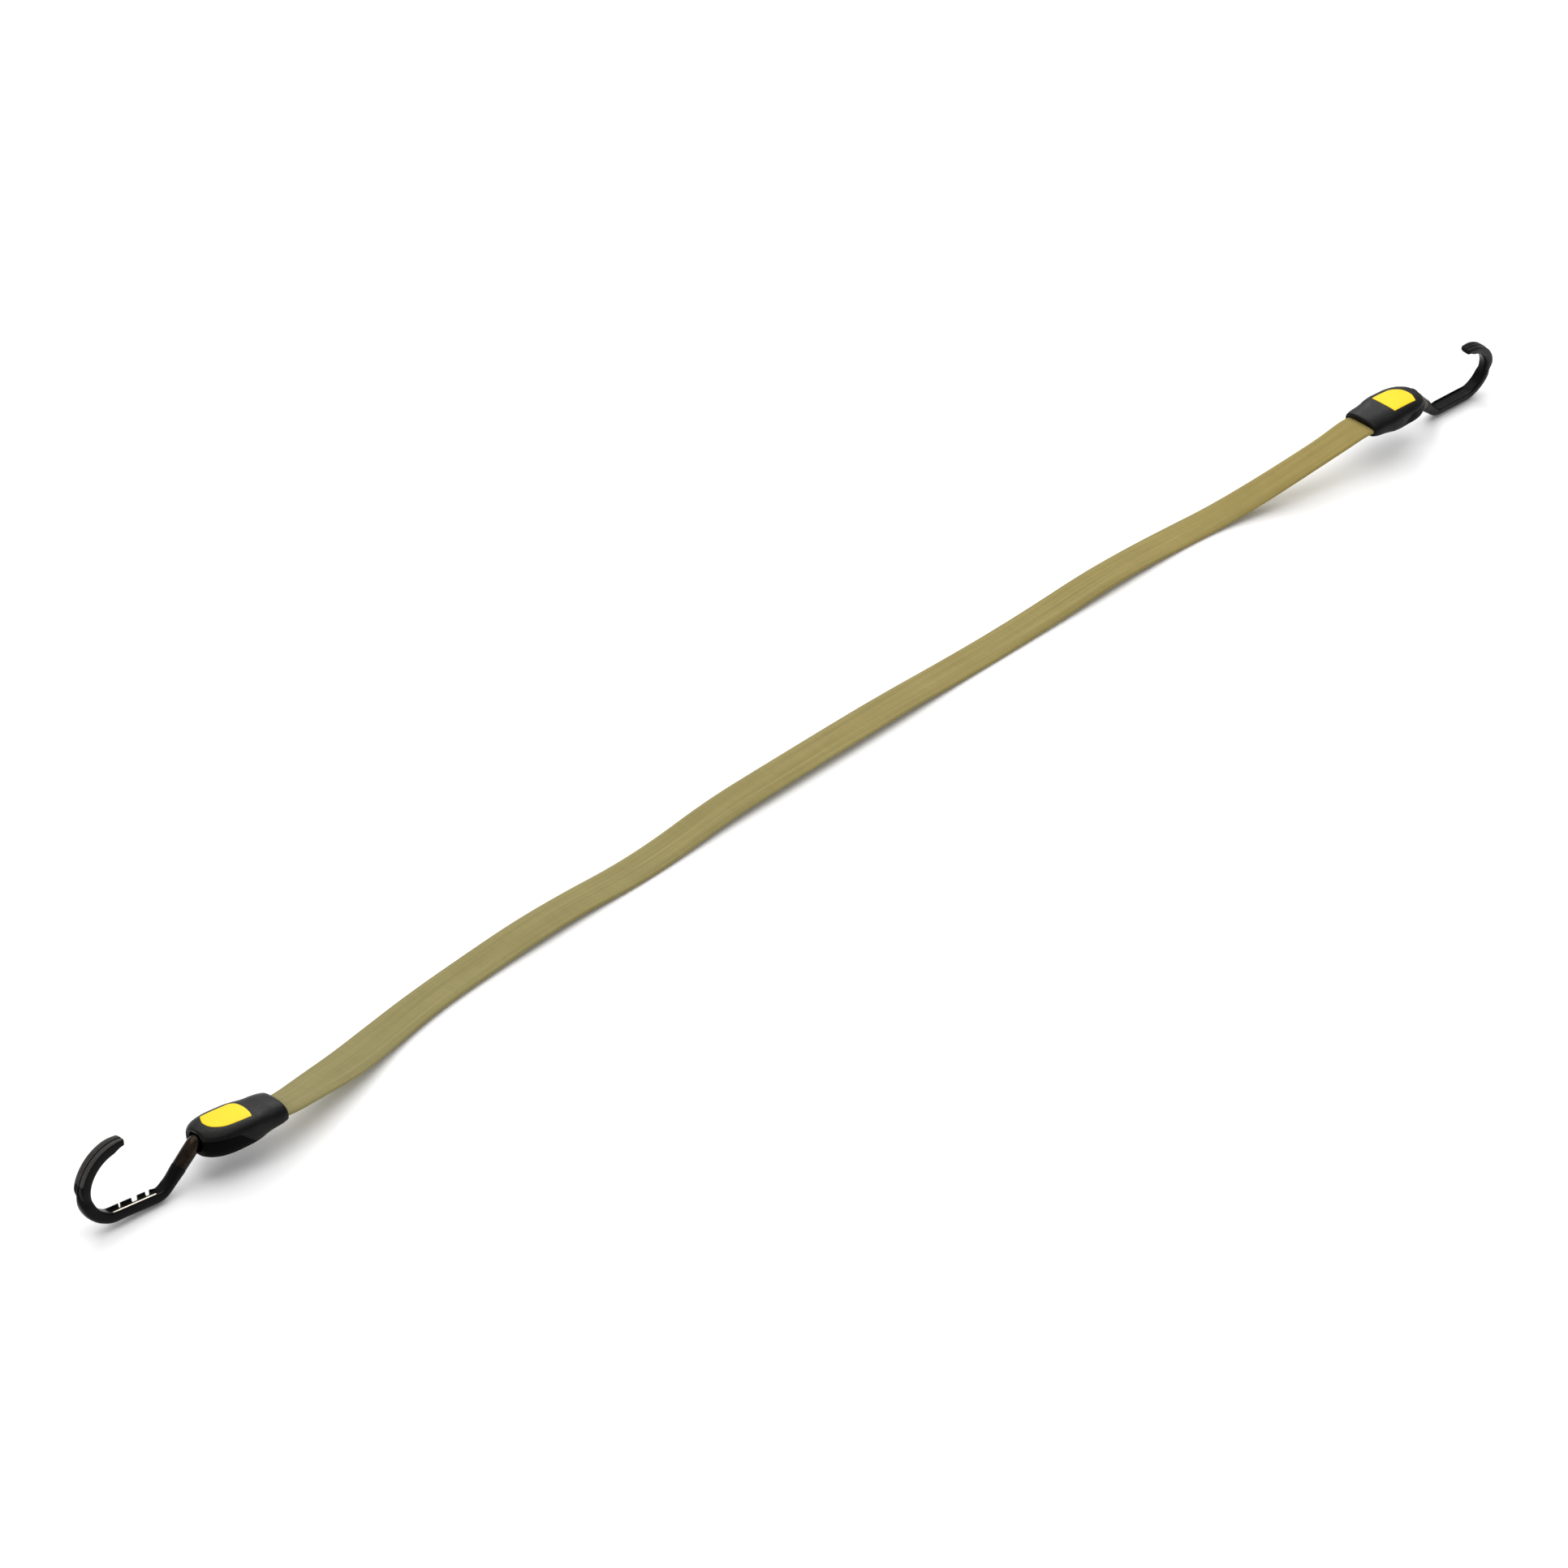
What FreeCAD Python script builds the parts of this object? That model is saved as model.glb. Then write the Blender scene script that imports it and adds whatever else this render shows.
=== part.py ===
import FreeCAD, Part
import math
import os

# Flat elastic tie-down strap with a swivelling hook at each end.
# Millimetres, +Z up, strap along X.  The origin is on the floor, under the middle of the whole object.
os.makedirs("parts", exist_ok=True)
V = FreeCAD.Vector

# ---------------------------------------------------------------- driving dimensions
# strap
STRAP_W = 24.0            # width of the sleeved strap
STRAP_T = 3.8             # thickness of the sleeved strap
SLEEVE_WALL = 0.7         # woven sleeve
CORE_CLEAR = 0.1          # rubber core inside the sleeve

# housing, along its own axis from the nose (a = 0) back to the mouth (a = -HOUSING_L)
HOUSING_L = 54.3
WALL = 1.7
SLOT_W, SLOT_H = 24.6, 4.6            # strap slot in the mouth
CAVITY_A0, CAVITY_A1 = -49.3, -15.0   # hollow between the mouth wall and the nose block
INLAY_A0, INLAY_L, INLAY_HALF_W = -32.0, 24.6, 10.3
INLAY_FLOOR, INLAY_PROUD = 6.8, 0.25

# swivel
ROD_D = 4.0               # steel core of the hook
BUSH_ID, BUSH_OD = 4.1, 9.0
BUSH_FLANGE_D, BUSH_FLANGE_T = 12.0, 1.6
BUSH_A0, BUSH_A1 = -14.6, -5.0
WASHER_OD, WASHER_T = 10.0, 1.0
SWIVEL_GAP = 0.15         # end float between the washer and the bush
HEAD_D, HEAD_T = 9.0, 3.0
FLARE_R0, FLARE_R1 = 5.3, 6.1          # opening in the nose round the neck
NECK_D = 9.0

# hook, in the plane of the housing axis and the vertical
HOOK_W = 8.8              # width of the jacket across the hook's plane
HOOK_T = 7.2              # thickness of the jacket in the hook's plane
BEND_A, BEND_R = 0.5, 7.0              # where the shank turns down, at the nose
BAR_H = -22.8                          # height of the bottom bar's centreline
HEEL_A, HEEL_R = 25.9, 12.0            # corner of neck and bottom bar
BIG_A, BIG_R, BIG_DEG = 56.6, 18.7, 119.5   # main bend: centre along a, radius, swept angle
TIP_A, TIP_H = 46.7, 18.8              # end of the hook
SEAM_AT = 16.2            # from the shank's corner to where the ribbed jacket starts

# crimp that grips the strap's end, and its rivets
CRIMP_A0, CRIMP_A1 = -49.0, -30.2
CRIMP_W, CRIMP_PLATE, CRIMP_GAP = 25.2, 0.9, 4.1
RIVET_A, RIVET_L, RIVET_D, RIVET_HEAD_D, RIVET_HEAD_T = -40.0, 7.2, 3.0, 5.6, 0.7
RIVET_HOLE_D = 3.5

# case screws, driven from below
SCREW_A, SCREW_L, SCREW_D, SCREW_HEAD_D = -24.0, 9.3, 2.6, 5.2
SCREW_HEAD_H, SCREW_SEAT = 2.0, -4.6
BOSS_D = 6.4

# pose of the two ends: nose position, then yaw, pitch and roll in degrees
LEFT_NOSE, LEFT_YPR = (-538.77, -11.50, 24.21), (-5.3, 4.7, 10.2)
RIGHT_NOSE, RIGHT_YPR = (538.96, -10.11, 28.03), (-2.3, -1.3, 1.1)
# how far each hook is turned about its housing's axis
HOOK_TURN = {"left": 1.2, "right": 7.1}

# free route of the strap on the floor, control points of a quadratic B-spline: x, y, z, twist
FREE_ROUTE = [
    (-455.51, -13.84, 16.07, -2.0),
    (-424.91, -8.25, 10.86, 7.0),
    (-388.86, 2.27, 4.28, 5.0),
    (-347.87, 9.84, 2.67, 0.0),
    (-302.51, 13.19, 2.70, 0.0),
    (-259.51, 13.99, 4.80, 0.0),
    (-219.51, 14.59, 3.60, -1.0),
    (-182.51, 13.79, 1.70, 0.0),
    (-145.51, 14.39, 2.30, 0.0),
    (-97.51, 16.99, 5.20, 0.0),
    (-47.51, 16.89, 6.20, 0.0),
    (7.49, 17.29, 6.10, 0.0),
    (62.49, 17.79, 5.40, 0.0),
    (107.49, 19.09, 2.30, 0.0),
    (152.49, 18.79, 1.85, 0.0),
    (202.49, 18.79, 2.60, 0.0),
    (250.49, 18.79, 5.00, -1.0),
    (292.49, 18.99, 3.60, -1.0),
    (330.49, 17.99, 1.70, 0.0),
    (364.22, 14.33, 2.57, 0.0),
    (397.60, 6.32, 10.52, 0.0),
    (428.97, -2.29, 20.76, -3.0),
    (456.70, -6.55, 26.43, -5.0),
]

# ---------------------------------------------------------------- small helpers


def rot(yaw, pitch, roll):
    cy, sy = math.cos(math.radians(yaw)), math.sin(math.radians(yaw))
    cp, sp = math.cos(math.radians(pitch)), math.sin(math.radians(pitch))
    cr, sr = math.cos(math.radians(roll)), math.sin(math.radians(roll))
    rz = [[cy, -sy, 0], [sy, cy, 0], [0, 0, 1]]
    ry = [[cp, 0, -sp], [0, 1, 0], [sp, 0, cp]]
    rx = [[1, 0, 0], [0, cr, -sr], [0, sr, cr]]
    m = [[sum(rz[i][k] * ry[k][j] for k in range(3)) for j in range(3)] for i in range(3)]
    return [[sum(m[i][k] * rx[k][j] for k in range(3)) for j in range(3)] for i in range(3)]


def end_placement(nose, ypr, side):
    """Local a (outward), l (left hand), h (up) to the world."""
    m = rot(*ypr)
    s = (-1, -1, 1) if side == "left" else (1, 1, 1)
    m = [[s[i] * m[i][j] for j in range(3)] for i in range(3)]
    return FreeCAD.Placement(
        FreeCAD.Matrix(m[0][0], m[0][1], m[0][2], nose[0], m[1][0], m[1][1], m[1][2], nose[1], m[2][0], m[2][1], m[2][2], nose[2], 0, 0, 0, 1)
    )


def rounded(origin, u, v, hu0, hu1, hv0, hv1, r):
    """Closed wire of four lines and four arcs: -hu0..hu1 along u, -hv0..hv1 along v."""
    k = r * (1 - math.sqrt(0.5))

    def p(a, b):
        return origin + u * a + v * b

    e = [
        Part.LineSegment(p(-hu0 + r, -hv0), p(hu1 - r, -hv0)).toShape(),
        Part.Arc(p(hu1 - r, -hv0), p(hu1 - k, -hv0 + k), p(hu1, -hv0 + r)).toShape(),
        Part.LineSegment(p(hu1, -hv0 + r), p(hu1, hv1 - r)).toShape(),
        Part.Arc(p(hu1, hv1 - r), p(hu1 - k, hv1 - k), p(hu1 - r, hv1)).toShape(),
        Part.LineSegment(p(hu1 - r, hv1), p(-hu0 + r, hv1)).toShape(),
        Part.Arc(p(-hu0 + r, hv1), p(-hu0 + k, hv1 - k), p(-hu0, hv1 - r)).toShape(),
        Part.LineSegment(p(-hu0, hv1 - r), p(-hu0, -hv0 + r)).toShape(),
        Part.Arc(p(-hu0, -hv0 + r), p(-hu0 + k, -hv0 + k), p(-hu0 + r, -hv0)).toShape(),
    ]
    return Part.Wire(e)


def cyl(r, a0, a1, l=0.0, h=0.0):
    """Cylinder along the housing axis."""
    return Part.makeCylinder(r, a1 - a0, V(a0, l, h), V(1, 0, 0))


def post(r, a, l, h0, h1):
    return Part.makeCylinder(r, h1 - h0, V(a, l, h0), V(0, 0, 1))


def block(a0, a1, l0, l1, h0, h1):
    return Part.makeBox(a1 - a0, l1 - l0, h1 - h0, V(a0, l0, h0))


# ---------------------------------------------------------------- housing
# a, half width, top, bottom, corner radius
SECTIONS = [
    (-HOUSING_L, 13.5, 6.0, 4.8, 3.3),
    (-50.5, 14.4, 6.5, 5.6, 3.9),
    (-44.0, 14.8, 6.8, 6.4, 4.2),
    (-38.0, 15.5, 7.4, 7.5, 4.4),
    (-32.0, 16.1, 7.9, 8.3, 4.6),
    (-20.0, 16.3, 7.9, 9.3, 4.8),
    (-10.0, 15.4, 7.6, 9.4, 4.8),
    (-4.0, 13.4, 7.1, 8.9, 4.8),
    (-1.0, 10.6, 6.7, 8.1, 4.8),
    (0.0, 9.3, 6.4, 7.6, 4.8),
]


def housing_solid():
    wires = [rounded(V(a, 0, 0), V(0, 1, 0), V(0, 0, 1), w, w, b, t, r) for a, w, t, b, r in SECTIONS]
    return Part.makeLoft(wires, True, False)


def inlay_outline(grow=0.0):
    w = INLAY_HALF_W + grow
    a0, L = INLAY_A0 - grow, INLAY_L
    # l is the left hand; the straight long side is on the right hand (negative l)
    p1 = V(a0, -w, 0)
    p2 = V(a0, w, 0)
    p3 = V(INLAY_A0 + 0.86 * L + grow, -w, 0)
    mids = [V(INLAY_A0 + L + grow, -0.24 * w, 0), V(INLAY_A0 + 0.95 * L + grow, 0.5 * w, 0), V(INLAY_A0 + 0.72 * L + grow * 0.7, 0.88 * w, 0)]
    curve = Part.BSplineCurve()
    curve.interpolate([p3] + mids + [p2])
    w_ = Part.Wire([Part.LineSegment(p2, p1).toShape(), Part.LineSegment(p1, p3).toShape(), curve.toShape()])
    return Part.Face(w_)


def build_housing():
    outer = housing_solid()
    inner_w = []
    for a, w, t, b, r in [(CAVITY_A0, 14.4, 6.4, 5.6, 3.9)] + SECTIONS[2:6] + [(CAVITY_A1, 15.8, 7.7, 9.3, 4.8)]:
        inner_w.append(rounded(V(a, 0, 0), V(0, 1, 0), V(0, 0, 1), w - WALL + 0.3, w - WALL + 0.3, b - WALL, t - WALL, max(r - WALL, 1.5)))
    cavity = Part.makeLoft(inner_w, True, False)
    bosses = [post(BOSS_D / 2, SCREW_A, s * SCREW_L, -9, 9) for s in (-1, 1)]
    for b in bosses:
        cavity = cavity.cut(b)
    slot = block(-HOUSING_L - 2, CAVITY_A0 + 0.5, -SLOT_W / 2, SLOT_W / 2, -SLOT_H / 2, SLOT_H / 2)
    body = outer.cut(cavity).cut(slot)
    # nose: seat for the bush, opening for the neck
    body = body.cut(cyl(BUSH_OD / 2, CAVITY_A1 - 0.5, BUSH_A1))
    body = body.cut(cyl(BUSH_FLANGE_D / 2 + 0.05, CAVITY_A1 - 0.5, BUSH_A0 + BUSH_FLANGE_T))
    body = body.cut(Part.makeCone(FLARE_R0, FLARE_R1 + 0.2, 6.0, V(BUSH_A1, 0, 0), V(1, 0, 0)))
    upper = body.common(block(-60, 5, -20, 20, 0, 12))
    lower = body.common(block(-60, 5, -20, 20, -12, 0))
    pocket = inlay_outline(0.08).extrude(V(0, 0, 6))
    pocket.translate(V(0, 0, INLAY_FLOOR))
    upper = upper.cut(pocket)
    plug = inlay_outline(0.0).extrude(V(0, 0, 6))
    plug.translate(V(0, 0, INLAY_FLOOR))
    lifted = outer.copy()
    lifted.translate(V(0, 0, INLAY_PROUD))
    inlay = plug.common(lifted)
    for s in (-1, 1):
        lower = lower.cut(post(SCREW_D / 2 + 0.25, SCREW_A, s * SCREW_L, -12, 1))
        lower = lower.cut(post(SCREW_HEAD_D / 2 + 0.25, SCREW_A, s * SCREW_L, -12, SCREW_SEAT))
        upper = upper.cut(post(SCREW_D / 2, SCREW_A, s * SCREW_L, -1, 4.6))
    return upper, lower, inlay


# ---------------------------------------------------------------- hook path


def arc3(c, r, d0, d1):
    pts = [V(c[0] + r * math.cos(math.radians(d)), 0, c[1] + r * math.sin(math.radians(d))) for d in (d0, (d0 + d1) / 2, d1)]
    return pts


def hook_geometry():
    """Pieces of the centreline: ('line', p, q) and ('arc', centre, radius, deg0, deg1), in (a, h)."""
    drop = math.degrees(math.atan2(-BAR_H, HEEL_A - BEND_A))          # slope of the neck, below the axis
    tb = BEND_R * math.tan(math.radians(drop / 2))
    th = HEEL_R * math.tan(math.radians(drop / 2))
    c, s = math.cos(math.radians(drop)), math.sin(math.radians(drop))
    shank_end = (BEND_A - tb, 0.0)
    neck0 = (BEND_A + tb * c, -tb * s)
    neck1 = (HEEL_A - th * c, BAR_H + th * s)
    bar0 = (HEEL_A + th, BAR_H)
    bar1 = (BIG_A, BAR_H)
    big_c = (BIG_A, BAR_H + BIG_R)
    a1 = -90 + BIG_DEG
    p = (big_c[0] + BIG_R * math.cos(math.radians(a1)), big_c[1] + BIG_R * math.sin(math.radians(a1)))
    ux, uh = math.cos(math.radians(a1)), math.sin(math.radians(a1))
    dx, dh = p[0] - TIP_A, p[1] - TIP_H
    r2 = (dx * dx + dh * dh) / (2 * (dx * ux + dh * uh))
    c2 = (p[0] - r2 * ux, p[1] - r2 * uh)
    a2 = math.degrees(math.atan2(TIP_H - c2[1], TIP_A - c2[0]))
    return {
        "drop": drop, "shank_end": shank_end, "neck0": neck0, "neck1": neck1, "bar0": bar0, "bar1": bar1,
        "bend": ((BEND_A - tb, -BEND_R), BEND_R, 90.0, 90.0 - drop),
        "heel": ((HEEL_A + th, BAR_H + HEEL_R), HEEL_R, 270.0 - drop, 270.0),
        "big": (big_c, BIG_R, -90.0, a1), "tip": (c2, r2, a1, a2),
    }


def line(p, q):
    return Part.LineSegment(V(p[0], 0, p[1]), V(q[0], 0, q[1])).toShape()


def arc(c, r, d0, d1):
    p = arc3(c, r, d0, d1)
    return Part.Arc(p[0], p[1], p[2]).toShape()


def sweep_round(edges, r, start, direction):
    path = Part.Wire(edges)
    ring = Part.Wire(Part.makeCircle(r, start, direction))
    return path.makePipeShell([ring], True, False)


def build_hook():
    g = hook_geometry()
    head_a1 = BUSH_A0 - SWIVEL_GAP - WASHER_T
    shank0 = (head_a1 - 1.0, 0.0)
    c2, r2, a1, a2 = g["tip"]
    core_end = a2 - math.degrees(3.2 / r2)
    edges = [line(shank0, g["shank_end"]), arc(*g["bend"]), line(g["neck0"], g["neck1"]), arc(*g["heel"]), line(g["bar0"], g["bar1"]), arc(*g["big"]), arc(c2, r2, a1, core_end)]
    core = sweep_round(edges, ROD_D / 2, V(shank0[0], 0, 0), V(1, 0, 0))
    core = core.fuse(cyl(HEAD_D / 2, head_a1 - HEAD_T, head_a1)).removeSplitter()
    washer = cyl(WASHER_OD / 2, head_a1, head_a1 + WASHER_T).cut(cyl(ROD_D / 2, head_a1 - 1, head_a1 + 5))
    bush = cyl(BUSH_OD / 2, BUSH_A0, BUSH_A1).fuse(cyl(BUSH_FLANGE_D / 2, BUSH_A0, BUSH_A0 + BUSH_FLANGE_T)).removeSplitter()
    bush = bush.cut(cyl(BUSH_ID / 2, BUSH_A0 - 1, BUSH_A1 + 1))
    # neck sleeve: from just inside the nose to the seam
    d = math.radians(g["drop"])
    seam = (BEND_A + SEAM_AT * math.cos(d), -SEAM_AT * math.sin(d))
    sleeve_a0 = -3.6
    sl = [line((sleeve_a0, 0), g["shank_end"]), arc(*g["bend"]), line(g["neck0"], seam)]
    sleeve = sweep_round(sl, NECK_D / 2, V(sleeve_a0, 0, 0), V(1, 0, 0))
    bore = sweep_round([line((sleeve_a0 - 1, 0), g["shank_end"]), arc(*g["bend"]), line(g["neck0"], (seam[0] + math.cos(d), seam[1] - math.sin(d)))], ROD_D / 2, V(sleeve_a0 - 1, 0, 0), V(1, 0, 0))
    sleeve = sleeve.cut(bore)
    # jacket: tapered neck, then a strip of constant section round the hook
    t = HOOK_T / 2
    tang = V(math.cos(d), 0, -math.sin(d))
    nrm = V(math.sin(d), 0, math.cos(d))
    n1 = V(g["neck1"][0], 0, g["neck1"][1])
    s0 = V(seam[0], 0, seam[1])
    L = (n1 - s0).Length
    w2 = HOOK_W / 2
    secs = []
    for f, hw, ht, r in ((0.0, NECK_D / 2, NECK_D / 2, 4.3), (0.35, NECK_D / 2, 4.2, 3.6), (0.7, 4.4, 3.3, 2.4), (1.0, w2, t, 1.4)):
        secs.append(rounded(s0 + tang * (L * f), V(0, 1, 0), nrm, hw, hw, ht, ht, r))
    neck = Part.makeLoft(secs, True, True)

    def off(piece, k):
        c, r, d0, d1 = piece
        return arc(c, r + k, d0, d1)

    # heel turns the other way from the main bend, so outside swaps: k > 0 is the floor side
    outer = [off(g["heel"], t), line((g["bar0"][0], BAR_H - t), (g["bar1"][0], BAR_H - t)), off(g["big"], t), off(g["tip"], t)]
    inner = [off(g["tip"], -t), off(g["big"], -t), line((g["bar1"][0], BAR_H + t), (g["bar0"][0], BAR_H + t)), off(g["heel"], -t)]
    a2r = math.radians(a2)
    tip_out = (c2[0] + (r2 + t) * math.cos(a2r), c2[1] + (r2 + t) * math.sin(a2r))
    tip_in = (c2[0] + (r2 - t) * math.cos(a2r), c2[1] + (r2 - t) * math.sin(a2r))
    hc, hr, hd0, hd1 = g["heel"]
    h_out = (hc[0] + (hr + t) * math.cos(math.radians(hd0)), hc[1] + (hr + t) * math.sin(math.radians(hd0)))
    h_in = (hc[0] + (hr - t) * math.cos(math.radians(hd0)), hc[1] + (hr - t) * math.sin(math.radians(hd0)))
    wire = Part.Wire(Part.__sortEdges__(outer + [line(tip_out, tip_in)] + inner + [line(h_in, h_out)]))
    strip = Part.Face(wire).extrude(V(0, HOOK_W, 0))
    strip.translate(V(0, -HOOK_W / 2, 0))
    jacket = strip.fuse(neck).removeSplitter()
    jacket = jacket.cut(core)
    return core, washer, bush, sleeve, jacket


# ---------------------------------------------------------------- strap crimp and fasteners


def build_crimp():
    hw, g2 = CRIMP_W / 2, CRIMP_GAP / 2
    outer = block(CRIMP_A0, CRIMP_A1, -hw, hw, -g2 - CRIMP_PLATE, g2 + CRIMP_PLATE)
    outer = outer.cut(block(CRIMP_A0 - 1, CRIMP_A1 - CRIMP_PLATE, -hw - 1, hw + 1, -g2, g2))
    for s in (-1, 1):
        outer = outer.cut(post(RIVET_D / 2, RIVET_A, s * RIVET_L, -9, 9))
    rivets = []
    top = g2 + CRIMP_PLATE
    for s in (-1, 1):
        r = post(RIVET_D / 2, RIVET_A, s * RIVET_L, -top, top)
        r = r.fuse(post(RIVET_HEAD_D / 2, RIVET_A, s * RIVET_L, top, top + RIVET_HEAD_T)).fuse(post(RIVET_HEAD_D / 2, RIVET_A, s * RIVET_L, -top - RIVET_HEAD_T, -top)).removeSplitter()
        rivets.append(r)
    return outer, Part.makeCompound(rivets)


def build_screws():
    out = []
    for s in (-1, 1):
        sh = post(SCREW_D / 2, SCREW_A, s * SCREW_L, SCREW_SEAT - 0.2, 3.8)
        hd = post(SCREW_HEAD_D / 2, SCREW_A, s * SCREW_L, SCREW_SEAT - SCREW_HEAD_H, SCREW_SEAT)
        scr = sh.fuse(hd).removeSplitter()
        h0 = SCREW_SEAT - SCREW_HEAD_H - 0.5
        for da, dl in ((1.35, 0.35), (0.35, 1.35)):
            scr = scr.cut(block(SCREW_A - da, SCREW_A + da, s * SCREW_L - dl, s * SCREW_L + dl, h0, h0 + 1.7))
        out.append(scr)
    return Part.makeCompound(out)


# ---------------------------------------------------------------- strap


def spline(ctrl, u):
    """Quadratic clamped uniform B-spline and its derivative at u in 0..1."""
    n = len(ctrl)
    spans = n - 2
    x = min(max(u * spans, 0.0), spans - 1e-9)
    k = int(x)
    knots = [0.0, 0.0] + [float(i) for i in range(spans + 1)] + [float(spans)] * 2

    def basis(i, p, xx):
        if p == 0:
            return 1.0 if knots[i] <= xx < knots[i + 1] else 0.0
        r = 0.0
        if knots[i + p] > knots[i]:
            r += (xx - knots[i]) / (knots[i + p] - knots[i]) * basis(i, p - 1, xx)
        if knots[i + p + 1] > knots[i + 1]:
            r += (knots[i + p + 1] - xx) / (knots[i + p + 1] - knots[i + 1]) * basis(i + 1, p - 1, xx)
        return r

    b = [basis(k + j, 2, x) for j in range(3)]
    return [sum(b[j] * ctrl[k + j][c] for j in range(3)) for c in range(len(ctrl[0]))]


def strap_route(pl_left, pl_right):
    """Control points from the left crimp to the right crimp: x, y, z, twist."""
    out = []
    for a in (CRIMP_A1 - CRIMP_PLATE - 0.3, -42.0, -54.0, -63.0):
        p = pl_left.multVec(V(a, 0, 0))
        out.append((p.x, p.y, p.z, -LEFT_YPR[2] * (1.0 if a > -60 else 0.75)))
    out += FREE_ROUTE
    for a in (-63.0, -54.0, -42.0, CRIMP_A1 - CRIMP_PLATE - 0.3):
        p = pl_right.multVec(V(a, 0, 0))
        out.append((p.x, p.y, p.z, RIGHT_YPR[2] if a > -60 else RIGHT_YPR[2] - 2.0))
    return out


def strap_stations(ctrl, n):
    pts = [spline(ctrl, i / n) for i in range(n + 1)]
    st = []
    for i, p in enumerate(pts):
        q0, q1 = pts[max(i - 1, 0)], pts[min(i + 1, n)]
        if i in (0, n):
            u = 1e-4
            a, b = (spline(ctrl, 0.0), spline(ctrl, u)) if i == 0 else (spline(ctrl, 1 - u), spline(ctrl, 1.0))
            t = V(b[0] - a[0], b[1] - a[1], b[2] - a[2])
        else:
            t = V(q1[0] - q0[0], q1[1] - q0[1], q1[2] - q0[2])
        t.normalize()
        s = V(0, 0, 1).cross(t)
        s.normalize()
        nn = t.cross(s)
        r = math.radians(p[3])
        st.append((V(p[0], p[1], p[2]), s * math.cos(r) + nn * math.sin(r), nn * math.cos(r) - s * math.sin(r)))
    return st


def strap_solid(st, half_w, half_t, c):
    """Lofted band: a rectangle at every station, with chamfered corners where c isn't 0."""
    wires = []
    for o, s, n in st:
        q = [(half_w - c, -half_t), (half_w, -half_t + c), (half_w, half_t - c), (half_w - c, half_t)] if c else [(half_w, -half_t), (half_w, half_t)]
        q += [(-a, b) for a, b in reversed(q)]
        pts = [o + s * a + n * b for a, b in q]
        wires.append(Part.makePolygon(pts + [pts[0]]))
    return Part.makeLoft(wires, True, True)


# ---------------------------------------------------------------- build
pl = {"left": end_placement(LEFT_NOSE, LEFT_YPR, "left"), "right": end_placement(RIGHT_NOSE, RIGHT_YPR, "right")}
hook_parts = build_hook()
upper, lower, inlay = build_housing()
crimp, rivets = build_crimp()
screws = build_screws()
parts = {}


def put(name, shape, placement):
    s = shape.copy()
    s.Placement = placement.multiply(s.Placement)
    parts[name] = s


def turned(placement, deg):
    return placement.multiply(FreeCAD.Placement(V(0, 0, 0), FreeCAD.Rotation(V(1, 0, 0), deg)))


for side in ("left", "right"):
    p = pl[side]
    q = turned(p, HOOK_TURN[side])
    core, washer, bush, sleeve, jacket = hook_parts
    put(side + "_upper_shell", upper, p)
    put(side + "_lower_shell", lower, p)
    put(side + "_inlay", inlay, p)
    put(side + "_shell_screws", screws, p)
    put(side + "_swivel_bush", bush, p)
    put(side + "_thrust_washer", washer, q)
    put(side + "_hook_core", core, q)
    put(side + "_neck_sleeve", sleeve, q)
    put(side + "_hook_jacket", jacket, q)
    put(side + "_strap_crimp", crimp, p)
    put(side + "_crimp_rivets", rivets, p)

route = strap_route(pl["left"], pl["right"])
N = 58
st = strap_stations(route, N)
length = sum((st[i + 1][0] - st[i][0]).Length for i in range(N))
outer = strap_solid(st, STRAP_W / 2, STRAP_T / 2, 1.1)
iw, it = STRAP_W / 2 - SLEEVE_WALL, STRAP_T / 2 - SLEEVE_WALL
inner = strap_solid(st, iw, it, 0)
sleeve_s = outer.cut(inner)
core_s = strap_solid(st, iw - CORE_CLEAR, it - CORE_CLEAR, 0)
for side in ("left", "right"):
    for s in (-1, 1):
        hole = post(RIVET_HOLE_D / 2, RIVET_A, s * RIVET_L, -6, 6)
        hole.Placement = pl[side].multiply(hole.Placement)
        sleeve_s = sleeve_s.cut(hole)
        core_s = core_s.cut(hole)
parts["strap_sleeve"] = sleeve_s
parts["rubber_core"] = core_s

lo = [1e9] * 3
hi = [-1e9] * 3
for name, s in parts.items():
    s.exportStep("parts/" + name + ".step")
    b = s.BoundBox
    lo = [min(lo[0], b.XMin), min(lo[1], b.YMin), min(lo[2], b.ZMin)]
    hi = [max(hi[0], b.XMax), max(hi[1], b.YMax), max(hi[2], b.ZMax)]
    print("%-22s solids %d valid %s volume %.1f z %.2f..%.2f" % (name, len(s.Solids), s.isValid(), s.Volume, b.ZMin, b.ZMax))
print("strap length", round(length, 1), "box", [round(x, 2) for x in lo], [round(x, 2) for x in hi], "centre", [round((lo[i] + hi[i]) / 2, 2) for i in range(2)])
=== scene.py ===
import bpy
import bmesh
import math
import numpy as np
from mathutils import Matrix, Vector

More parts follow.
